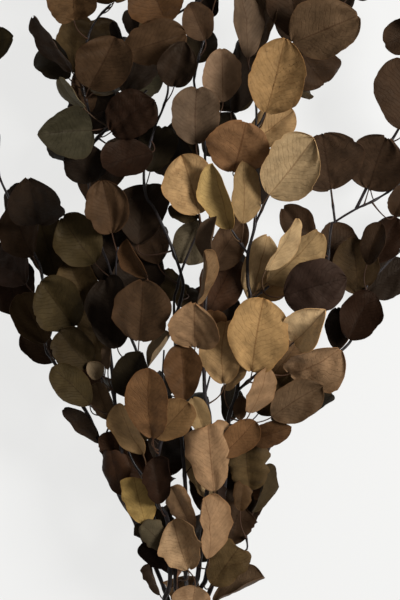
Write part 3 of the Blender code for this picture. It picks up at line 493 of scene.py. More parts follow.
class Limb:
    """A limb's stems as lines of points, and the leaves that are already in place on it."""

    def __init__(self, name, foot_line):
        self.name = name
        share, stems = LIMBS[name]
        self.stems = [([seen_from_above(*p) for p in points], first, last) for points, first, last in stems]
        self.leaves = []
        start = self.stems[0][0][0]
        self.fork = along_line(foot_line, share)
        self.away = (start - self.fork).normalized()
        self.stems[0][0].insert(1, start + self.away * STRAIGHT)

    def root_for(self, foot, along):
        """Where a leaf's stalk leaves the limb: on the nearest stem, a little below the blade."""
        wanted = foot - along * STALK_REACH
        found = [nearest_on(cut_short(line), wanted) for line, first, last in self.stems]
        return min(found, key=lambda item: item[0])[1]

    def level_near(self, x, y):
        """The level of the limb's nearest stem, as seen from above."""
        spots = []
        for line, first, last in self.stems:
            for p, q in zip(line, line[1:]):
                for share in (0.0, 0.5, 1.0):
                    spot = p.lerp(q, share)
                    spots.append((math.hypot(spot.x - x, spot.y - y), spot.z))
        return min(spots)[1]


def along_line(points, share):
    """The place at a share of a line's whole length."""
    spans = [(q - p).length for p, q in zip(points, points[1:])]
    left = share * sum(spans)
    for p, q, span in zip(points, points[1:], spans):
        if left <= span:
            return p.lerp(q, left / span)
        left -= span
    return points[-1].copy()
print("straight run after a fork", STRAIGHT, "mm")

# %% Room
def box_of(points):
    low = [min(p[i] for p in points) for i in range(3)]
    high = [max(p[i] for p in points) for i in range(3)]
    return low, high


def boxes_meet(a, b):
    return all(a[0][i] <= b[1][i] and b[0][i] <= a[1][i] for i in range(3))


class Room:
    """What is already in place, so that a new leaf can be tried against it."""

    def __init__(self):
        self.bodies = []

    def add(self, owner, points, faces):
        self.bodies.append((owner, BVHTree.FromPolygons(points, faces), box_of(points)))

    def hits(self, owner, leaf, root):
        """Whether a new leaf would cross another limb's bodies, and how many of its own limb's."""
        points, faces = loft(leaf_rings(leaf, root, SKIN))
        whole, whole_box = BVHTree.FromPolygons(points, faces), box_of(points)
        clear = root + (leaf.foot - root).normalized() * ROOT_CLEAR
        points, faces = loft(leaf_rings(leaf, clear, OWN_SKIN))
        blade, blade_box = BVHTree.FromPolygons(points, faces), box_of(points)
        own = 0
        for limb, tree, box in self.bodies:
            if limb != owner:
                if boxes_meet(whole_box, box) and whole.overlap(tree):
                    return True, own
            elif boxes_meet(blade_box, box) and blade.overlap(tree):
                own += 1
        return False, own
print("room kept round a blade", SKIN, "mm")

# %% [markdown]
# ## Giving way
# Where a leaf would cross a neighbour it is raised, tilted or rolled a little, and the least change
# that works is kept. Leaves in front are placed first, then those among the stems, then those behind.

# %% Placing leaves
def ways_to_give():
    """Every way a leaf may give way, the least change first."""
    ways = [(r, t, o) for r in RAISES for t in TILTS for o in ROLLS]
    return sorted(ways, key=lambda way: abs(way[0]) + 0.5 * abs(way[1]) + 0.3 * abs(way[2]))


def moved(foot, tip, raised, tilted):
    """A foot and tip raised, and tilted about the blade's middle."""
    drop = math.tan(math.radians(tilted)) * (tip - foot).length
    lift = UP * (raised - 0.5 * drop)
    return foot + lift, tip + lift + UP * drop


def own_draw(*place):
    """A leaf's own random draw, which stays the same when other leaves are added."""
    return random.Random(f"{SEED} {place}")


def place_leaf(limb, room, foot, tip, width, roll, seed):
    """Puts a leaf on a limb, giving way to what is there. Returns False if it finds no room."""
    best = None
    for raised, tilted, rolled in ways_to_give():
        new_foot, new_tip = moved(foot, tip, raised, tilted)
        leaf = Leaf(new_foot, new_tip, width, roll + rolled, random.Random(seed))
        root = limb.root_for(leaf.foot, leaf.along)
        whole = [p for ring in leaf_rings(leaf, root, SKIN) for p in ring]
        if min(p.z for p in whole) < LOWEST:
            continue
        others, own = room.hits(limb.name, leaf, root)
        if others:
            continue
        cost = abs(raised) + 0.5 * abs(tilted) + 0.3 * abs(rolled) + OWN_COST * own
        if best is None or cost < best[0]:
            best = (cost, leaf, root)
        if own == 0:
            break
    if best is None:
        return False
    limb.leaves.append(best[1:])
    room.add(limb.name, *loft(leaf_rings(*best[1:])))
    return True


def place_row(limb, room, row):
    """Puts in a leaf that is given by how it looks from above."""
    draw = own_draw(*row)
    x0, y0, x1, y1, width, kind = row
    width *= FULLER[kind]
    x1 += (x1 - x0) * (LONGER[kind] - 1.0)
    y1 += (y1 - y0) * (LONGER[kind] - 1.0)
    shown = math.hypot(x1 - x0, y1 - y0)
    level = limb.level_near(x0, y0) + LIFT[kind] + draw.uniform(-3.0, 3.0)
    tilt = math.radians(PITCH[kind] + draw.uniform(-5.0, 5.0))
    if shown < SQUAT * width:
        tilt = math.copysign(math.acos(shown / (SQUAT * width)), tilt)
    length = shown / math.cos(tilt)
    full = max(width, SLENDER * length)
    roll = math.degrees(math.acos(width / full)) * draw.choice((-1.0, 1.0))
    roll += draw.uniform(-6.0, 6.0)
    foot = seen_from_above(x0, y0, level)
    tip = seen_from_above(x1, y1, level + shown * math.tan(tilt))
    return place_leaf(limb, room, foot, tip, full, roll, draw.random())


def place_rest(limb, room, foot, tip):
    """Puts in a leaf that the branch rests on, with its lowest point on the surface."""
    leaf = Leaf(Vector(foot), Vector((*tip, 2.0)), REST_WIDTH, 0.0, own_draw(*foot, *tip))
    root = limb.root_for(leaf.foot, leaf.along)
    leaf.foot = leaf.foot - UP * min(p.z for ring in leaf_rings(leaf, root) for p in ring)
    root = limb.root_for(leaf.foot, leaf.along)
    limb.leaves.append((leaf, root))
    room.add(limb.name, *loft(leaf_rings(leaf, root)))


def is_covered(x, y):
    """Whether a place lies under one of the leaves that are listed in the rows."""
    for rows in LEAVES.values():
        for x0, y0, x1, y1, width, kind in rows:
            long = math.hypot(x1 - x0, y1 - y0)
            along = ((x - 0.5 * (x0 + x1)) * (x1 - x0) + (y - 0.5 * (y0 + y1)) * (y1 - y0)) / long
            aside = ((x - 0.5 * (x0 + x1)) * (y1 - y0) - (y - 0.5 * (y0 + y1)) * (x1 - x0)) / long
            if (2.0 * along / long) ** 2 + (2.0 * aside / width) ** 2 < 1.0:
                return True
    return False


def place_under(limb, room):
    """Puts the leaves of the underside along a limb's main stem, where leaves in front cover them."""
    line = limb.stems[0][0]
    length = sum((q - p).length for p, q in zip(line, line[1:]))
    count = int(length / UNDER_STEP)
    for i in range(1, count + 1):
        draw = own_draw(limb.name, i)
        spot = along_line(line, (i - 0.5) / count)
        ahead = along_line(line, min(1.0, i / count)) - spot
        side = math.radians(draw.uniform(*UNDER_SPREAD)) * (1 if i % 2 else -1)
        drop = math.radians(draw.uniform(*UNDER_DROP))
        flat = math.atan2(ahead.y, ahead.x) + side
        toward = Vector((math.cos(flat) * math.cos(drop), math.sin(flat) * math.cos(drop), -math.sin(drop)))
        long = draw.uniform(*UNDER_LENGTH)
        foot = spot + toward * 16.0 - UP * 3.0
        tip = foot + toward * long
        if is_covered(tip.x, tip.y) and is_covered(*foot.lerp(tip, 0.5).xy):
            width = long * draw.uniform(*UNDER_SHAPE)
            place_leaf(limb, room, foot, tip, width, 0.0, draw.random())
print("ways to give", len(ways_to_give()))

# %% Plain stems and foot
def tube(name, line, first, last, sides, shift):
    """A tapering stem with filled ends, as a closed mesh."""
    curve = bpy.data.curves.new(name, "CURVE")
    curve.dimensions = "3D"
    curve.twist_mode = "Z_UP"
    curve.bevel_depth = MM
    curve.bevel_resolution = sides // 2 - 2
    curve.use_fill_caps = True
    spline = curve.splines.new("POLY")
    spline.points.add(len(line) - 1)
    for i, (spot, place) in enumerate(zip(spline.points, line)):
        spot.co = (*((place + shift) * MM), 1.0)
        spot.radius = first + (last - first) * i / (len(line) - 1)
        spot.tilt = math.pi / sides
    thing = bpy.data.objects.new(name, curve)
    bpy.context.scene.collection.objects.link(thing)
    bpy.context.view_layer.update()
    mesh = bpy.data.meshes.new_from_object(thing.evaluated_get(bpy.context.evaluated_depsgraph_get()))
    bm = bmesh.new()
    bm.from_mesh(mesh)
    bmesh.ops.remove_doubles(bm, verts=bm.verts, dist=1e-6)
    bmesh.ops.recalc_face_normals(bm, faces=bm.faces)
    bm.to_mesh(mesh)
    bm.free()
    solid = bpy.data.objects.new(name, mesh)
    solid.matrix_world = thing.matrix_world
    bpy.data.objects.remove(thing)
    bpy.data.curves.remove(curve)
    return solid


def foot_tubes(limbs):
    """The woody foot and a fork stub for each limb: line, radii and sides."""
    line = [Vector(p) for p in FOOT]
    tubes = [(line[:3], FOOT_RADIUS, FOOT_RADIUS), (line[1:], FOOT_RADIUS, HEAD_RADIUS)]
    for limb in limbs:
        start = limb.stems[0][0][0]
        radius = limb.stems[0][1]
        tubes.append(([limb.fork, start - limb.away * LIMB_GAP], radius * 1.1, radius))
    return tubes
print("sides of a plain limb", LIMB_SIDES)

# %% Growing
foot_line = [Vector(p) for p in FOOT]
limbs = [Limb(name, foot_line) for name in LIMBS]
room = Room()
still = Vector((0.0, 0.0, 0.0))
trial_stems = [("woody_stem", foot_tubes(limbs), FOOT_SIDES)]
trial_stems += [(limb.name, limb.stems, LIMB_SIDES) for limb in limbs]
for owner, tubes, sides in trial_stems:
    for line, first, last in tubes:
        solid = tube("trial", line, first, last, sides, still)
        room.add(owner, [v.co / MM for v in solid.data.vertices],
                 [tuple(f.vertices) for f in solid.data.polygons])
        bpy.data.objects.remove(solid)

by_name = {limb.name: limb for limb in limbs}
for name, foot, tip in RESTS:
    place_rest(by_name[name], room, foot, tip)
for kind in "FMB":
    for limb in limbs:
        for row, tint in zip(LEAVES[limb.name], TINTS[limb.name]):
            if row[5] == kind and place_row(limb, room, row):
                limb.leaves[-1][0].tint = tint
for limb in limbs:
    place_under(limb, room)

points = [p for limb in limbs for leaf in limb.leaves for ring in leaf_rings(*leaf) for p in ring]
points += [Vector((FOOT[0][0], FOOT[0][1], 0.0))]
low, high = box_of(points)
shift = Vector((-0.5 * (low[0] + high[0]), -0.5 * (low[1] + high[1]), 0.0))
print("leaves grown", sum(len(limb.leaves) for limb in limbs), "shift in mm", [round(a, 3) for a in shift])

# %% [markdown]
# The grown branch has to agree with the CAD model, so the boxes of the limbs are compared. A limb's
# own corners may differ a little, because its stems end in plain tubes there.

# %% Check against the CAD model
for limb in limbs:
    low, high = box_of([p for leaf in limb.leaves for ring in leaf_rings(*leaf) for p in ring])
    there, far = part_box(limb.name)
    slip = max(max(abs(low[i] + shift[i] - 1000 * there[i]), abs(high[i] + shift[i] - 1000 * far[i]))
               for i in range(3))
    print(limb.name, len(limb.leaves), "leaves, farthest corner off by", round(slip, 1), "mm")

# %% [markdown]
# ## Tubes along smooth lines
# Stems, stalks and midribs are all thin round rods. A line is drawn smoothly through a few points, and
# rings of points are set along it. The first ring's direction is carried on from ring to ring, so that
# the rod doesn't twist.

# %% Smooth lines and tubes
def smooth_line(points, step):
    """Places along a rounded line through the points, about a step apart."""
    points = np.array([tuple(p) for p in points])
    padded = np.vstack([2 * points[0] - points[1], points, 2 * points[-1] - points[-2]])
    places = []
    for before, a, b, after in zip(padded, padded[1:], padded[2:], padded[3:]):
        count = max(1, round(float(np.linalg.norm(b - a)) / step))
        for t in np.arange(count) / count:
            places.append(0.5 * (2 * a + (b - before) * t + (2 * before - 5 * a + 4 * b - after) * t ** 2
                                 + (3 * a - before - 3 * b + after) * t ** 3))
    return np.array(places + [points[-1]])


def unit(vectors):
    return vectors / np.maximum(np.linalg.norm(vectors, axis=-1, keepdims=True), 1e-9)


def rings_along(line, radii, sides):
    """Points in rings round a line, and the faces of the closed tube through them."""
    ahead = unit(np.gradient(line, axis=0))
    side = unit(np.cross(ahead[0], (0.3, 0.2, 1.0)))
    angles = np.linspace(0.0, 2.0 * math.pi, sides, endpoint=False)[:, None]
    points = []
    for place, along, radius in zip(line, ahead, radii):
        side = unit(side - along * np.dot(side, along))
        other = np.cross(along, side)
        points.append(place + radius * (np.cos(angles) * side + np.sin(angles) * other))
    count = len(line)
    faces = []
    for i in range(count - 1):
        for j in range(sides):
            a, b = i * sides + j, i * sides + (j + 1) % sides
            faces.append((a, b, b + sides, a + sides))
    faces.append(tuple(range(sides - 1, -1, -1)))
    faces.append(tuple(range((count - 1) * sides, count * sides)))
    return np.vstack(points), faces


test_line = smooth_line([(0, 0, 0), (10, 0, 0), (20, 10, 0)], 2.0)
print("a trial line of", len(test_line), "places")

# %% [markdown]
# ## A dried blade
# A blade is a thin sheet, folded a little along its midrib, arched along its length and wavy at its
# edge where it dried. It is worked out as a grid: v runs from foot to tip and u across. The plain
# form comes from the same numbers as the CAD leaf, and the fine form only adds waves, a rolled edge,
# shallow bites and scallops. The oldest leaves, near the foot, are torn and have corners with bays
# between them. Two skins and a thin rim make it a closed solid.

# %% Blade form
ACROSS = 18                # squares across a blade
ALONG = 24                 # squares along it
SHEET = 0.36               # thickness of the dried blade, in millimetres
COCKLE = 0.62              # height of the low waves all over a blade
BITES = (0, 0, 1, 2)       # how many notches an edge may have
CORNERS = 0.16             # how deep the bays are between the corners of the oldest leaves
LOW_SLANT = 0.45           # how far the tips of the oldest leaves may slant
SLANT = 0.18               # and those of the others
LOW_CURL = 0.55            # how far the edges of the oldest leaves may curl
CURL = 0.20                # and those of the others
COCKLES = 4                # low waves laid over each other


def is_low(leaf):
    """Whether a leaf is one of the oldest, near the foot."""
    return leaf.foot.y < LOW_LEAVES


def edge_form(leaf, v, side, draw):
    """How far the edge reaches at v, as a share of the smooth outline."""
    lobes = 1.0 + 0.045 * np.sin(2 * math.pi * (draw.uniform(1.0, 2.4) * v + draw.random()))
    lobes += 0.011 * np.sin(2 * math.pi * (draw.uniform(5.0, 9.0) * v + draw.random()))
    if is_low(leaf):
        corners = np.abs(np.sin(math.pi * (draw.uniform(2.2, 3.6) * v + draw.random())))
        lobes += CORNERS * (0.35 - corners) * np.minimum(1.0, 2.0 * v)
    for bite in range(draw.choice(BITES)):
        deep = draw.uniform(0.03, 0.09)
        lobes -= deep * np.exp(-((v - draw.uniform(0.25, 0.9)) / draw.uniform(0.012, 0.04)) ** 2)
    if leaf.tint in SCALLOPED:
        lobes -= 0.03 * np.abs(np.sin(math.pi * (5.0 * v ** 0.8 + side + draw.random()))) ** 0.8
    return lobes


def blade_grid(leaf, draw):
    """The middle of the sheet as a grid of places, with u and v for each."""
    v = 0.006 + 0.988 * 0.5 * (1.0 - np.cos(math.pi * np.linspace(0.0, 1.0, ALONG + 1)))[:, None]
    u = np.linspace(-1.0, 1.0, ACROSS + 1)[None, :]
    smooth = 0.5 * leaf.width * 1.76 * v ** 0.5 * (1.0 - v ** 1.7) ** leaf.blunt
    left, right = edge_form(leaf, v, 0.0, draw), edge_form(leaf, v, 0.5, draw)
    half = smooth * np.where(u < 0, 1.0 + (left - 1.0) * u ** 2, 1.0 + (right - 1.0) * u ** 2)
    half = half * (1.0 + draw.uniform(-0.07, 0.07) * u)
    bow = draw.uniform(-0.03, 0.03) * leaf.length * np.sin(math.pi * v)
    side = u * half * math.cos(leaf.fold) + bow
    most_slant, most_curl = (LOW_SLANT, LOW_CURL) if is_low(leaf) else (SLANT, CURL)
    slant = draw.uniform(-most_slant, most_slant)
    reach = v * leaf.length + draw.uniform(-0.10, 0.10) * u * half + slant * u * half * v ** 3
    reach = reach + draw.uniform(-0.05, 0.03) * leaf.length * v ** 5 * (1.0 - np.abs(u))
    lift = (np.sqrt(u ** 2 + 0.003) - 0.055) * half * math.sin(leaf.fold)
    lift = lift + leaf.arch * leaf.length * np.sin(math.pi * v) + leaf.twist * u * half * (2.0 * v - 1.0)
    size = min(1.0, leaf.width / 45.0)
    strength = size * (2.2 if leaf.tint in CRINKLED else draw.uniform(0.6, 1.5))
    count = draw.uniform(3.0, 4.2) if leaf.tint in CRINKLED else draw.uniform(1.2, 2.6)
    phase = np.where(u < 0, draw.random(), draw.random())
    lift = lift + strength * u ** 2 * np.sin(2 * math.pi * (count * v + phase))
    for cockle in range(COCKLES):
        turn = draw.uniform(0.0, math.pi)
        across_place, along_place = 0.5 * leaf.width * u, leaf.length * v
        place = (across_place * math.cos(turn) + along_place * math.sin(turn)) / draw.uniform(11.0, 30.0)
        lift = lift + COCKLE * size * draw.uniform(0.4, 1.0) * np.sin(2 * math.pi * (place + draw.random()))
    curl = draw.uniform(-most_curl, most_curl)
    lift = lift + curl * half * np.abs(u) ** 3 * (0.4 + v)
    lift = lift - 0.02 * leaf.length * draw.uniform(-1.0, 2.0) * v ** 4
    axes = (leaf.foot, leaf.along, leaf.across, leaf.normal)
    foot, along, across, normal = (np.array(tuple(axis)) for axis in axes)
    grid = foot + along * reach[..., None] + across * side[..., None] + normal * lift[..., None]
    return grid, np.broadcast_to(u, side.shape), np.broadcast_to(v, side.shape)


def blade_sheet(leaf, draw):
    """Points, faces and u, v of the closed sheet, and the line of its midrib."""
    grid, u, v = blade_grid(leaf, draw)
    facing = unit(np.cross(np.gradient(grid, axis=1), np.gradient(grid, axis=0)))
    rows, columns = grid.shape[:2]
    front = (grid + 0.5 * SHEET * facing).reshape(-1, 3)
    back = (grid - 0.5 * SHEET * facing).reshape(-1, 3)
    skip = rows * columns
    faces = []
    for i in range(rows - 1):
        for j in range(columns - 1):
            a = i * columns + j
            faces.append((a, a + 1, a + columns + 1, a + columns))
            faces.append((skip + a, skip + a + columns, skip + a + columns + 1, skip + a + 1))
    ring = [j for j in range(columns)] + [i * columns + columns - 1 for i in range(1, rows)]
    ring += [(rows - 1) * columns + j for j in range(columns - 2, -1, -1)]
    ring += [i * columns for i in range(rows - 2, 0, -1)]
    for a, b in zip(ring, ring[1:] + ring[:1]):
        faces.append((b, a, skip + a, skip + b))
    places = np.stack([u, v], axis=-1).reshape(-1, 2)
    middle = columns // 2
    return np.vstack([front, back]), faces, np.vstack([places, places]), grid[:, middle], facing[:, middle]


print("faces of one blade", 2 * ACROSS * ALONG + 2 * (ACROSS + ALONG))

# %% [markdown]
# ## Stalk and midrib
# A leaf's stalk leaves the stem at a slant and runs on into the blade as its midrib, getting thinner all
# the way. Here both are one rod: a bent stretch from the stem to the blade's foot, and then the blade's
# own middle line, sunk a little below the upper skin so that it stands out more on the underside.

# %% Stalk form
STALK_SIDES = 7


def stalk_rod(leaf, root, rib, facing):
    """Points and faces of the rod, and u, v for each point: v below 0 means the stalk."""
    reach = leaf.foot - root
    bend = np.array(tuple(leaf.foot - leaf.along * (0.45 * reach.length)))
    start, end = np.array(tuple(root)), np.array(tuple(leaf.foot))
    t = np.linspace(0.0, 1.0, 10)[:, None]
    stalk = (1 - t) ** 2 * start + 2 * t * (1 - t) * bend + t ** 2 * end
    chosen = slice(3, len(rib) - 3, 2)
    middle = rib[chosen] - 0.14 * facing[chosen]
    line = np.vstack([stalk, middle])
    share = np.linspace(0.0, 1.0, len(middle))
    radii = np.concatenate([0.62 + 0.55 * np.exp(-t[:, 0] * 7.0), 0.52 - 0.40 * share])
    points, faces = rings_along(line, radii, STALK_SIDES)
    v = np.concatenate([-1.0 + t[:, 0] * 0.99, 0.05 + 0.9 * share])
    return points, faces, np.stack([np.zeros(len(points)), np.repeat(v, STALK_SIDES)], axis=-1)


print("sides of a stalk", STALK_SIDES)

# %% [markdown]
# ## Pieces of leaves
# All the leaves of a limb become one mesh. Two facts go with every point: the tint of its leaf, and
# where on the blade it lies (u, v, and a number that is the same all over one leaf). The material reads
# both, so a single material can draw the midrib, the side veins and the edge of every leaf.

# %% Colours and meshes
def linear(colour):
    """A colour as the eye sees it, 0 to 255, as the light values that a shader takes."""
    shares = [c / 255.0 for c in colour]
    return [s / 12.92 if s <= 0.04045 else ((s + 0.055) / 1.055) ** 2.4 for s in shares]


def inside_cad(points):
    """Places in millimetres, moved into the shared frame and kept inside the CAD box, in metres."""
    world = (points + np.array(tuple(shift))) * MM
    return np.clip(world, np.array(cad_low) + 1e-5, np.array(cad_high) - 1e-5)


def new_piece(name, points, faces, vectors, colours, material):
    """A piece whose points carry a vector and, if wanted, a colour."""
    mesh = bpy.data.meshes.new(name)
    mesh.from_pydata(inside_cad(points), [], faces)
    for label, values in vectors.items():
        data = mesh.attributes.new(label, "FLOAT_VECTOR", "POINT").data
        data.foreach_set("vector", np.ascontiguousarray(values, np.float32).ravel())
    for label, values in colours.items():
        data = mesh.attributes.new(label, "FLOAT_COLOR", "POINT").data
        data.foreach_set("color", np.ascontiguousarray(values, np.float32).ravel())
    mesh.shade_smooth()
    mesh.set_sharp_from_angle(angle=math.radians(60))
    mesh.materials.append(material)
    piece = bpy.data.objects.new(name, mesh)
    bpy.context.scene.collection.objects.link(piece)
    return piece


def leaves_piece(limb, material, draw):
    """Every leaf of a limb, with its stalk, as one mesh."""
    points, faces, places, tints = [], [], [], []
    count = 0
    for leaf, root in limb.leaves:
        tint = linear(TINT[leaf.tint])
        own = draw.random()
        shade = draw.uniform(0.90, 1.10)
        sheet, sheet_faces, sheet_places, rib, facing = blade_sheet(leaf, draw)
        rod, rod_faces, rod_places = stalk_rod(leaf, root, rib, facing)
        bodies = ((sheet, sheet_faces, sheet_places), (rod, rod_faces, rod_places))
        for part, part_faces, part_places in bodies:
            points.append(part)
            faces += [tuple(count + i for i in face) for face in part_faces]
            places.append(np.column_stack([part_places, np.full(len(part), own)]))
            tints.append(np.tile([*(shade * c for c in tint), 1.0], (len(part), 1)))
            count += len(part)
    vectors, colours = {"blade": np.vstack(places)}, {"tint": np.vstack(tints)}
    return new_piece(limb.name + "_leaves", np.vstack(points), faces, vectors, colours, material)


# %% [markdown]
# ## Stems
# The twigs are slim and a little knotty: they swell where a leaf stalk leaves them and taper to the tip.
# Each one is a rod along its smooth line, with a small swelling at every stalk. The points carry their
# direction round the stem and their distance along it, so the bark's streaks can follow the stem.

# %% Stem form
STEM_STEP = 4.0            # between rings, in millimetres
STEM_SIDES = 12
KNOT = 0.42                # how much a stem swells at a stalk
KNOT_REACH = 3.2           # and how far along it


def stem_rod(line, first, last, roots, draw):
    """Points, faces and bark directions of one stem."""
    places = smooth_line(line, STEM_STEP)
    share = np.linspace(0.0, 1.0, len(places))
    radii = first + (last - first) * share
    for root in roots:
        apart = np.linalg.norm(places - np.array(tuple(root)), axis=1)
        radii = radii + KNOT * np.exp(-(apart / KNOT_REACH) ** 2)
    radii = radii * (1.0 + 0.05 * np.sin(share * len(places) * 0.9 + draw.uniform(0.0, 6.0)))
    points, faces = rings_along(places, radii, STEM_SIDES)
    angle = np.tile(np.linspace(0.0, 2.0 * math.pi, STEM_SIDES, endpoint=False), len(places))
    reach = np.repeat(share * len(places) * STEM_STEP, STEM_SIDES)
    grain = np.stack([np.cos(angle), np.sin(angle), reach / 10.0 + draw.uniform(0.0, 40.0)], axis=-1)
    return points, faces, grain


def stems_piece(limb, material, draw):
    """Every stem of a limb as one mesh."""
    roots = [root for leaf, root in limb.leaves]
    points, faces, grains = [], [], []
    count = 0
    for line, first, last in limb.stems:
        part, part_faces, grain = stem_rod(line, first, last, roots, draw)
        points.append(part)
        faces += [tuple(count + i for i in face) for face in part_faces]
        grains.append(grain)
        count += len(part)
    vectors = {"grain": np.vstack(grains)}
    return new_piece(limb.name + "_stems", np.vstack(points), faces, vectors, {}, material)


# %% [markdown]
# ## The woody foot
# The foot is the thick lower end of the branch, with a slanting fork for every limb and a cut end. Wood
# grows smoothly round a fork, so the rods are melted together by a voxel remesh and then smoothed,
# which leaves the rounded crotches that a real fork has.

# %% Foot form
FOOT_GRID = 0.0007         # size of the remesh, in metres


def foot_piece(name, limbs, bark, cut_wood):
    """The foot with its forks, melted together, and its cut end in a material of its own."""
    points, faces = [], []
    count = 0
    rods = [([Vector(p) for p in FOOT], FOOT_RADIUS, HEAD_RADIUS, 24)]
    rods += [(line, first, last, 16) for line, first, last in foot_tubes(limbs)[2:]]
    for line, first, last, sides in rods:
        places = smooth_line(line, 5.0)
        radii = np.linspace(first, last, len(places))
        part, part_faces = rings_along(places, radii, sides)
        points.append(part)
        faces += [tuple(count + i for i in face) for face in part_faces]
        count += len(part)
    mesh = bpy.data.meshes.new(name)
    mesh.from_pydata((np.vstack(points) + np.array(tuple(shift))) * MM, [], faces)
    rough = bpy.data.objects.new(name + "_rough", mesh)
    bpy.context.scene.collection.objects.link(rough)
    remesh = rough.modifiers.new("melt", "REMESH")
    remesh.mode = "VOXEL"
    remesh.voxel_size = FOOT_GRID
    ease = rough.modifiers.new("ease", "SMOOTH")
    ease.factor = 0.5
    ease.iterations = 6
    bpy.context.view_layer.update()
    melted = bpy.data.meshes.new_from_object(rough.evaluated_get(bpy.context.evaluated_depsgraph_get()))
    bpy.data.objects.remove(rough)
    co = np.zeros(len(melted.vertices) * 3, np.float32)
    melted.vertices.foreach_get("co", co)
    co = co.reshape(-1, 3)
    grain = (co / MM) / np.array([4.0, 10.0, 4.0])
    polygons = [tuple(f.vertices) for f in melted.polygons]
    piece = new_piece(name, co / MM - np.array(tuple(shift)), polygons, {"grain": grain}, {}, bark)
    piece.data.materials.append(cut_wood)
    for face in piece.data.polygons:
        if face.normal.y < -0.75 and face.center.y < cad_low.y + 0.003:
            face.material_index = 1
    return piece

# %% [markdown]
# ## Wiring a material
# A material is a net of small nodes. These few calls make a node, join it to what feeds it and hand
# back its output, so that the cells below read like sums. Effects that several materials share,
# mottling and specks, are node groups with named inputs, and so are the leaf veins.

# %% Wires
class Wires:
    """Short calls that add and join the nodes of one node tree."""

    def __init__(self, tree):
        self.tree = tree

    def node(self, kind, inputs=None, **settings):
        made = self.tree.nodes.new(kind)
        for name, value in settings.items():
            setattr(made, name, value)
        for name, value in (inputs or {}).items():
            self.join(made.inputs[name], value)
        return made

    def join(self, socket, value):
        if isinstance(value, bpy.types.NodeSocket):
            self.tree.links.new(value, socket)
        else:
            socket.default_value = value

    def math(self, operation, a, b=0.0, c=0.0):
        return self.node("ShaderNodeMath", {0: a, 1: b, 2: c}, operation=operation).outputs[0]

    def ramp(self, value, low, high, start=0.0, end=1.0):
        """A soft step from start to end while the value goes from low to high."""
        made = self.node("ShaderNodeMapRange", {"Value": value, "From Min": low, "From Max": high,
                                                "To Min": start, "To Max": end},
                         interpolation_type="SMOOTHSTEP")
        return made.outputs["Result"]

    def noise(self, place, scale, detail=2.0, roughness=0.5):
        made = self.node("ShaderNodeTexNoise", {"Vector": place, "Scale": scale, "Detail": detail,
                                                "Roughness": roughness})
        return made.outputs["Fac"]

    def times(self, a, b):
        return self.math("MULTIPLY", a, b)

    def mix(self, share, a, b, blend="MIX"):
        made = self.node("ShaderNodeMix", data_type="RGBA", blend_type=blend)
        self.join(made.inputs[0], share)
        self.join(made.inputs[6], a)
        self.join(made.inputs[7], b)
        return made.outputs[2]

    def toned(self, colour, mask, share, tone):
        """The colour, multiplied by a tone where the mask is, for a share of its strength."""
        return self.mix(self.times(mask, share), colour, self.mix(1.0, colour, tone, "MULTIPLY"))


def new_group(name, inputs, outputs):
    """An empty node group with named sockets: its wires, its inputs and its outputs."""
    tree = bpy.data.node_groups.new(name, "ShaderNodeTree")
    for label, kind, value in inputs:
        socket = tree.interface.new_socket(name=label, in_out="INPUT", socket_type="NodeSocket" + kind)
        if value is not None:
            socket.default_value = value
    for label, kind in outputs:
        tree.interface.new_socket(name=label, in_out="OUTPUT", socket_type="NodeSocket" + kind)
    wires = Wires(tree)
    return wires, wires.node("NodeGroupInput").outputs, wires.node("NodeGroupOutput").inputs


print("wires ready")

# %% [markdown]
# ## Mottling and specks
# Dried leaves and bark are never one colour. Mottling is cloudy noise at a chosen size, and specks are
# the small dark dots of oil glands and mould: cells of a Voronoi pattern whose middles are filled.

# %% Mottling
sockets = [("Place", "Vector", None), ("Size", "Float", 10.0), ("Contrast", "Float", 0.3)]
wires, given, wanted = new_group("mottling", sockets, [("Value", "Float"), ("Clouds", "Float")])
scale = wires.math("DIVIDE", 1000.0, given["Size"])
clouds = wires.noise(given["Place"], scale, 5.0, 0.6)
wires.join(wanted["Clouds"], clouds)
spread = wires.times(wires.math("SUBTRACT", clouds, 0.5), given["Contrast"])
wires.join(wanted["Value"], wires.math("ADD", wires.times(spread, 3.0), 1.0))
MOTTLING = wires.tree
print(MOTTLING.name, "sockets", len(MOTTLING.interface.items_tree))

# %% Specks
sockets = [("Place", "Vector", None), ("Spacing", "Float", 3.0), ("Amount", "Float", 0.5)]
wires, given, wanted = new_group("specks", sockets, [("Mask", "Float")])
scale = wires.math("DIVIDE", 1000.0, given["Spacing"])
cells = wires.node("ShaderNodeTexVoronoi", {"Vector": given["Place"], "Scale": scale})
chance = wires.node("ShaderNodeSeparateColor", {"Color": cells.outputs["Color"]}).outputs[0]
radius = wires.times(wires.ramp(chance, 0.0, 1.0, 0.06, 0.26), given["Amount"])
outward = wires.math("DIVIDE", cells.outputs["Distance"], wires.math("MAXIMUM", radius, 0.001))
wires.join(wanted["Mask"], wires.ramp(wires.math("SUBTRACT", 1.0, outward), 0.0, 0.5))
SPECKS = wires.tree
print(SPECKS.name, "sockets", len(SPECKS.interface.items_tree))

# %% [markdown]
# ## Leaf veins
# A eucalyptus leaf has one midrib and many fine side veins that leave it at a slant and run nearly
# straight to the edge, with a net of finer ones between. The lines are stripes over v minus a share of
# the distance from the midrib, bent a little by noise.

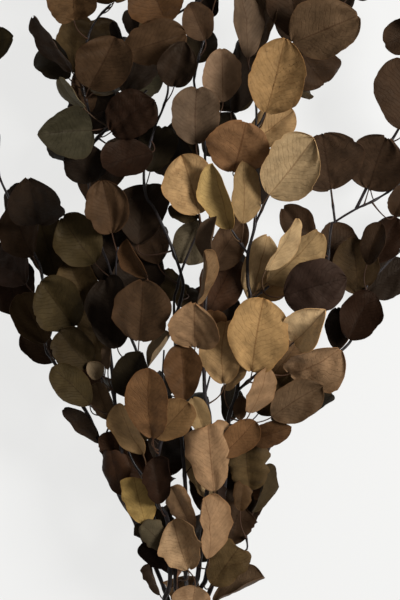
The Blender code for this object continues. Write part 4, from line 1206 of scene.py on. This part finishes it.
# %% Veins
sockets = [("Blade", "Vector", None), ("Place", "Vector", None), ("Count", "Float", 13.0),
           ("Slant", "Float", 0.55)]
masks = [(label, "Float") for label in ("Midrib", "Side", "Fine", "Rim", "Edge")]
wires, given, wanted = new_group("leaf_veins", sockets, masks)
parts = wires.node("ShaderNodeSeparateXYZ", {0: given["Blade"]}).outputs
aside = wires.math("ABSOLUTE", parts[0])
wires.join(wanted["Midrib"], wires.ramp(aside, 0.010, 0.045, 1.0, 0.0))
wander = wires.times(wires.math("SUBTRACT", wires.noise(given["Place"], 90.0, 1.0), 0.5), 0.13)
slanted = wires.math("SUBTRACT", parts[1], wires.times(aside, wires.times(given["Slant"], 0.62)))
bent = wires.math("ADD", wires.math("ADD", slanted, wander), 1.0)
for label, many, wide in (("Side", 1.0, 0.09), ("Fine", 4.3, 0.30)):
    count = wires.times(given["Count"], many)
    wave = wires.math("PINGPONG", wires.times(bent, count), 0.5)
    line = wires.ramp(wave, 0.0, wide, 1.0, 0.0)
    fade = wires.ramp(aside, 0.75, 0.97, 1.0, 0.15)
    wires.join(wanted[label], wires.times(line, fade))
outer = wires.math("MAXIMUM", aside, wires.ramp(parts[1], 0.90, 1.0, 0.8, 1.0))
wires.join(wanted["Rim"], wires.ramp(outer, 0.70, 0.96))
wires.join(wanted["Edge"], wires.ramp(outer, 0.965, 0.995))
VEINS = wires.tree
print(VEINS.name, "sockets", len(VEINS.interface.items_tree))

# %% [markdown]
# ## The dry leaf
# The tint of each leaf is only where it starts. Clouds of darker and lighter tone, brown stains, the
# darker midrib and side veins, a darker rim and a thin, paler edge lie over it. The finish is a
# soft satin that is rougher where the blade is cloudy, with the veins and the clouds as relief.

# %% Dry leaf material
def new_material(name):
    material = bpy.data.materials.new(name)
    material.use_nodes = True
    wires = Wires(material.node_tree)
    return material, wires, material.node_tree.nodes["Principled BSDF"]


def use(wires, tree, **inputs):
    """A node group placed in a material, with its own values."""
    made = wires.node("ShaderNodeGroup", node_tree=tree)
    for label, value in inputs.items():
        wires.join(made.inputs[label], value)
    return made.outputs


dry_leaf, wires, skin = new_material("dry_leaf")
tint = wires.node("ShaderNodeAttribute", attribute_name="tint").outputs["Color"]
blade = wires.node("ShaderNodeAttribute", attribute_name="blade").outputs["Vector"]
place = wires.node("ShaderNodeTexCoord").outputs["Object"]
own = wires.node("ShaderNodeSeparateXYZ", {0: blade}).outputs
veins = use(wires, VEINS, Blade=blade, Place=place, Count=13.0, Slant=0.55)
large = use(wires, MOTTLING, Place=place, Size=24.0, Contrast=0.40)
small = use(wires, MOTTLING, Place=place, Size=5.0, Contrast=0.20)
tone = wires.times(large["Value"], small["Value"])
colour = wires.node("ShaderNodeVectorMath", {0: tint, "Scale": tone}, operation="SCALE").outputs[0]
stain = wires.ramp(use(wires, MOTTLING, Place=place, Size=17.0, Contrast=0.3)["Clouds"], 0.52, 0.70)
colour = wires.toned(colour, stain, wires.ramp(own[2], 0.2, 0.9, 0.15, 0.6), (0.48, 0.40, 0.34, 1.0))
for label, share, darker in (("Side", 0.45, (0.66, 0.60, 0.56, 1.0)), ("Fine", 0.10, (0.66, 0.62, 0.58, 1.0)),
                             ("Midrib", 0.75, (0.58, 0.50, 0.46, 1.0)), ("Rim", 0.5, (0.70, 0.62, 0.55, 1.0)),
                             ("Edge", 0.5, (1.30, 1.12, 0.95, 1.0))):
    colour = wires.toned(colour, veins[label], share, darker)
specks = use(wires, SPECKS, Place=place, Spacing=3.2, Amount=wires.ramp(own[2], 0.35, 1.0, 0.2, 1.0))
colour = wires.mix(wires.times(specks["Mask"], 0.6), colour, (0.020, 0.013, 0.008, 1.0))
stalk = wires.math("LESS_THAN", own[1], 0.0)
colour = wires.mix(wires.times(stalk, 0.75), colour, (0.055, 0.028, 0.018, 1.0))
wires.join(skin.inputs["Base Color"], colour)
rough = wires.ramp(large["Clouds"], 0.3, 0.7, 0.50, 0.70)
wires.join(skin.inputs["Roughness"], wires.math("SUBTRACT", rough, wires.times(veins["Midrib"], 0.08)))
skin.inputs["Specular IOR Level"].default_value = 0.10
skin.inputs["Specular Tint"].default_value = (1.0, 0.84, 0.66, 1.0)
height = wires.math("ADD", wires.times(veins["Side"], -0.35), wires.times(veins["Fine"], -0.12))
height = wires.math("ADD", height, wires.times(small["Clouds"], 1.1))
relief = wires.node("ShaderNodeBump", {"Height": height, "Strength": 0.7, "Distance": 0.0010})
wires.join(skin.inputs["Normal"], relief.outputs["Normal"])
print(dry_leaf.name, "nodes", len(dry_leaf.node_tree.nodes))

# %% [markdown]
# ## Bark and cut wood
# The twigs are nearly black with a purple-brown cast. Bluish-grey clouds mixed into their colour at
# random are painted sheen, standing for the bluish satin highlights of the bark. Streaks run along
# them. The cut end shows pale wood with rings.

# %% Bark material
bark, wires, skin = new_material("bark")
grain = wires.node("ShaderNodeAttribute", attribute_name="grain").outputs["Vector"]
place = wires.node("ShaderNodeTexCoord").outputs["Object"]
streaks = wires.noise(grain, 1.6, 4.0, 0.6)
clouds = use(wires, MOTTLING, Place=place, Size=18.0, Contrast=0.3)
specks = use(wires, SPECKS, Place=place, Spacing=2.4, Amount=0.8)
colour = wires.mix(wires.ramp(streaks, 0.35, 0.68), (0.006, 0.0045, 0.0045, 1.0), (0.024, 0.017, 0.016, 1.0))
# Painted sheen: bluish-grey clouds, up to 40 percent, stand for the bark's bluish highlights.
colour = wires.mix(wires.ramp(clouds["Clouds"], 0.45, 0.75, 0.0, 0.40), colour, (0.036, 0.034, 0.042, 1.0))
colour = wires.mix(wires.times(specks["Mask"], 0.6), colour, (0.10, 0.075, 0.055, 1.0))
wires.join(skin.inputs["Base Color"], colour)
wires.join(skin.inputs["Roughness"], wires.ramp(clouds["Clouds"], 0.3, 0.7, 0.26, 0.46))
skin.inputs["Specular IOR Level"].default_value = 0.22
height = wires.math("ADD", streaks, wires.times(specks["Mask"], 0.6))
relief = wires.node("ShaderNodeBump", {"Height": height, "Strength": 0.5, "Distance": 0.0004})
wires.join(skin.inputs["Normal"], relief.outputs["Normal"])
print(bark.name, "nodes", len(bark.node_tree.nodes))

# %% Cut wood material
cut_wood, wires, skin = new_material("cut_wood")
place = wires.node("ShaderNodeTexCoord").outputs["Object"]
clouds = use(wires, MOTTLING, Place=place, Size=4.0, Contrast=0.3)
foot_middle = (Vector(FOOT[0]) + shift) * MM
spread = wires.node("ShaderNodeVectorMath", {0: place, 1: tuple(foot_middle)}, operation="DISTANCE")
apart = spread.outputs["Value"]
rings = wires.math("PINGPONG", wires.math("ADD", wires.times(apart, 900.0), clouds["Clouds"]), 0.5)
colour = wires.mix(wires.ramp(rings, 0.1, 0.4), (0.30, 0.20, 0.11, 1.0), (0.46, 0.34, 0.21, 1.0))
colour = wires.mix(wires.ramp(apart, 0.0042, 0.0052), colour, (0.05, 0.035, 0.03, 1.0))
wires.join(skin.inputs["Base Color"], colour)
wires.join(skin.inputs["Roughness"], wires.ramp(clouds["Clouds"], 0.3, 0.7, 0.60, 0.78))
relief = wires.node("ShaderNodeBump", {"Height": rings, "Strength": 0.4, "Distance": 0.0002})
wires.join(skin.inputs["Normal"], relief.outputs["Normal"])
print(cut_wood.name, "nodes", len(cut_wood.node_tree.nodes))

# %% [markdown]
# ## Making the pieces
# Every limb gives two pieces, its leaves and its stems, which together stand for the limb's CAD node.
# The woody foot stands for its own. All of them ride on the one body that the part has.

# %% Pieces
# Underside leaves get one of the dark tints: painted shade.
draw = random.Random(SEED + 1)
for limb in limbs:
    for leaf, root in limb.leaves:
        if not hasattr(leaf, "tint"):
            leaf.tint = draw.choice(UNDER_SHADE_TINTS)
draw = random.Random(SEED + 2)
for limb in limbs:
    leaves = leaves_piece(limb, dry_leaf, draw)
    stems = stems_piece(limb, bark, draw)
    for piece, finish in ((leaves, "dry_leaf"), (stems, "bark")):
        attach(piece, "root")
        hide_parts(limb.name)
        print(piece.name, "faces", len(piece.data.polygons))
foot = foot_piece("foot", limbs, bark, cut_wood)
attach(foot, "root")
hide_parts("woody_stem")
print(foot.name, "faces", len(foot.data.polygons))

# %% [markdown]
# ## Table, light and camera
# The table is plain and pale, and it glows a little, like a light table, which keeps its shadows faint.
# A broad soft light comes from the right and from the viewer's side, which is from above here, and a
# weak even light fills the shadows. The camera looks straight down from three metres, so that the
# leaves are seen almost without perspective.

# %% Table
TABLE_HALF = 3.0           # half its width, in metres
TABLE_GLOW = 0.77
table_mesh = bpy.data.meshes.new("table")
corners = [(-TABLE_HALF, -TABLE_HALF, 0), (TABLE_HALF, -TABLE_HALF, 0), (TABLE_HALF, TABLE_HALF, 0),
           (-TABLE_HALF, TABLE_HALF, 0)]
table_mesh.from_pydata(corners, [], [(0, 1, 2, 3)])
table = bpy.data.objects.new("table", table_mesh)
bpy.context.scene.collection.objects.link(table)
table_white, wires, skin = new_material("table_white")
skin.inputs["Base Color"].default_value = (0.10, 0.10, 0.098, 1.0)
skin.inputs["Emission Color"].default_value = (1.0, 1.0, 0.99, 1.0)
skin.inputs["Emission Strength"].default_value = TABLE_GLOW
skin.inputs["Roughness"].default_value = 0.9
skin.inputs["Specular IOR Level"].default_value = 0.1
table_mesh.materials.append(table_white)
print("table", 2 * TABLE_HALF, "m wide")

# %% Light
KEY_PLACE = Vector((1.5, 0.45, 1.9))
KEY_SIZE = 0.9             # metres
KEY_POWER = 78.0           # watts
FILL = 0.26                # strength of the even light
key_light = bpy.data.lights.new("key", "AREA")
key_light.shape = "DISK"
key_light.size = KEY_SIZE
key_light.energy = KEY_POWER
key = bpy.data.objects.new("key", key_light)
key.location = KEY_PLACE
key.rotation_euler = (-KEY_PLACE).to_track_quat("-Z", "Y").to_euler()
bpy.context.scene.collection.objects.link(key)
world = bpy.data.worlds.new("studio")
world.use_nodes = True
world.node_tree.nodes["Background"].inputs["Color"].default_value = (1.0, 0.97, 0.94, 1.0)
world.node_tree.nodes["Background"].inputs["Strength"].default_value = FILL
bpy.context.scene.world = world
bpy.context.scene.view_settings.view_transform = "Standard"
print("key light", key_light.energy, "W")

# %% Camera
LONG_SIDE = 600.0          # what the picture's long side shows at the true level, in millimetres
SENSOR = 36.0
middle = (MIDDLE + shift) * MM
camera_data = bpy.data.cameras.new("camera")
camera_data.sensor_width = SENSOR
camera_data.lens = SENSOR * (EYE_HEIGHT - TRUE_LEVEL) / LONG_SIDE
camera = bpy.data.objects.new("camera", camera_data)
camera.location = (middle.x, middle.y, EYE_HEIGHT * MM)
camera.rotation_euler = (0.0, 0.0, 0.0)
bpy.context.scene.collection.objects.link(camera)
bpy.context.scene.camera = camera
print("lens", round(camera_data.lens, 1), "mm")
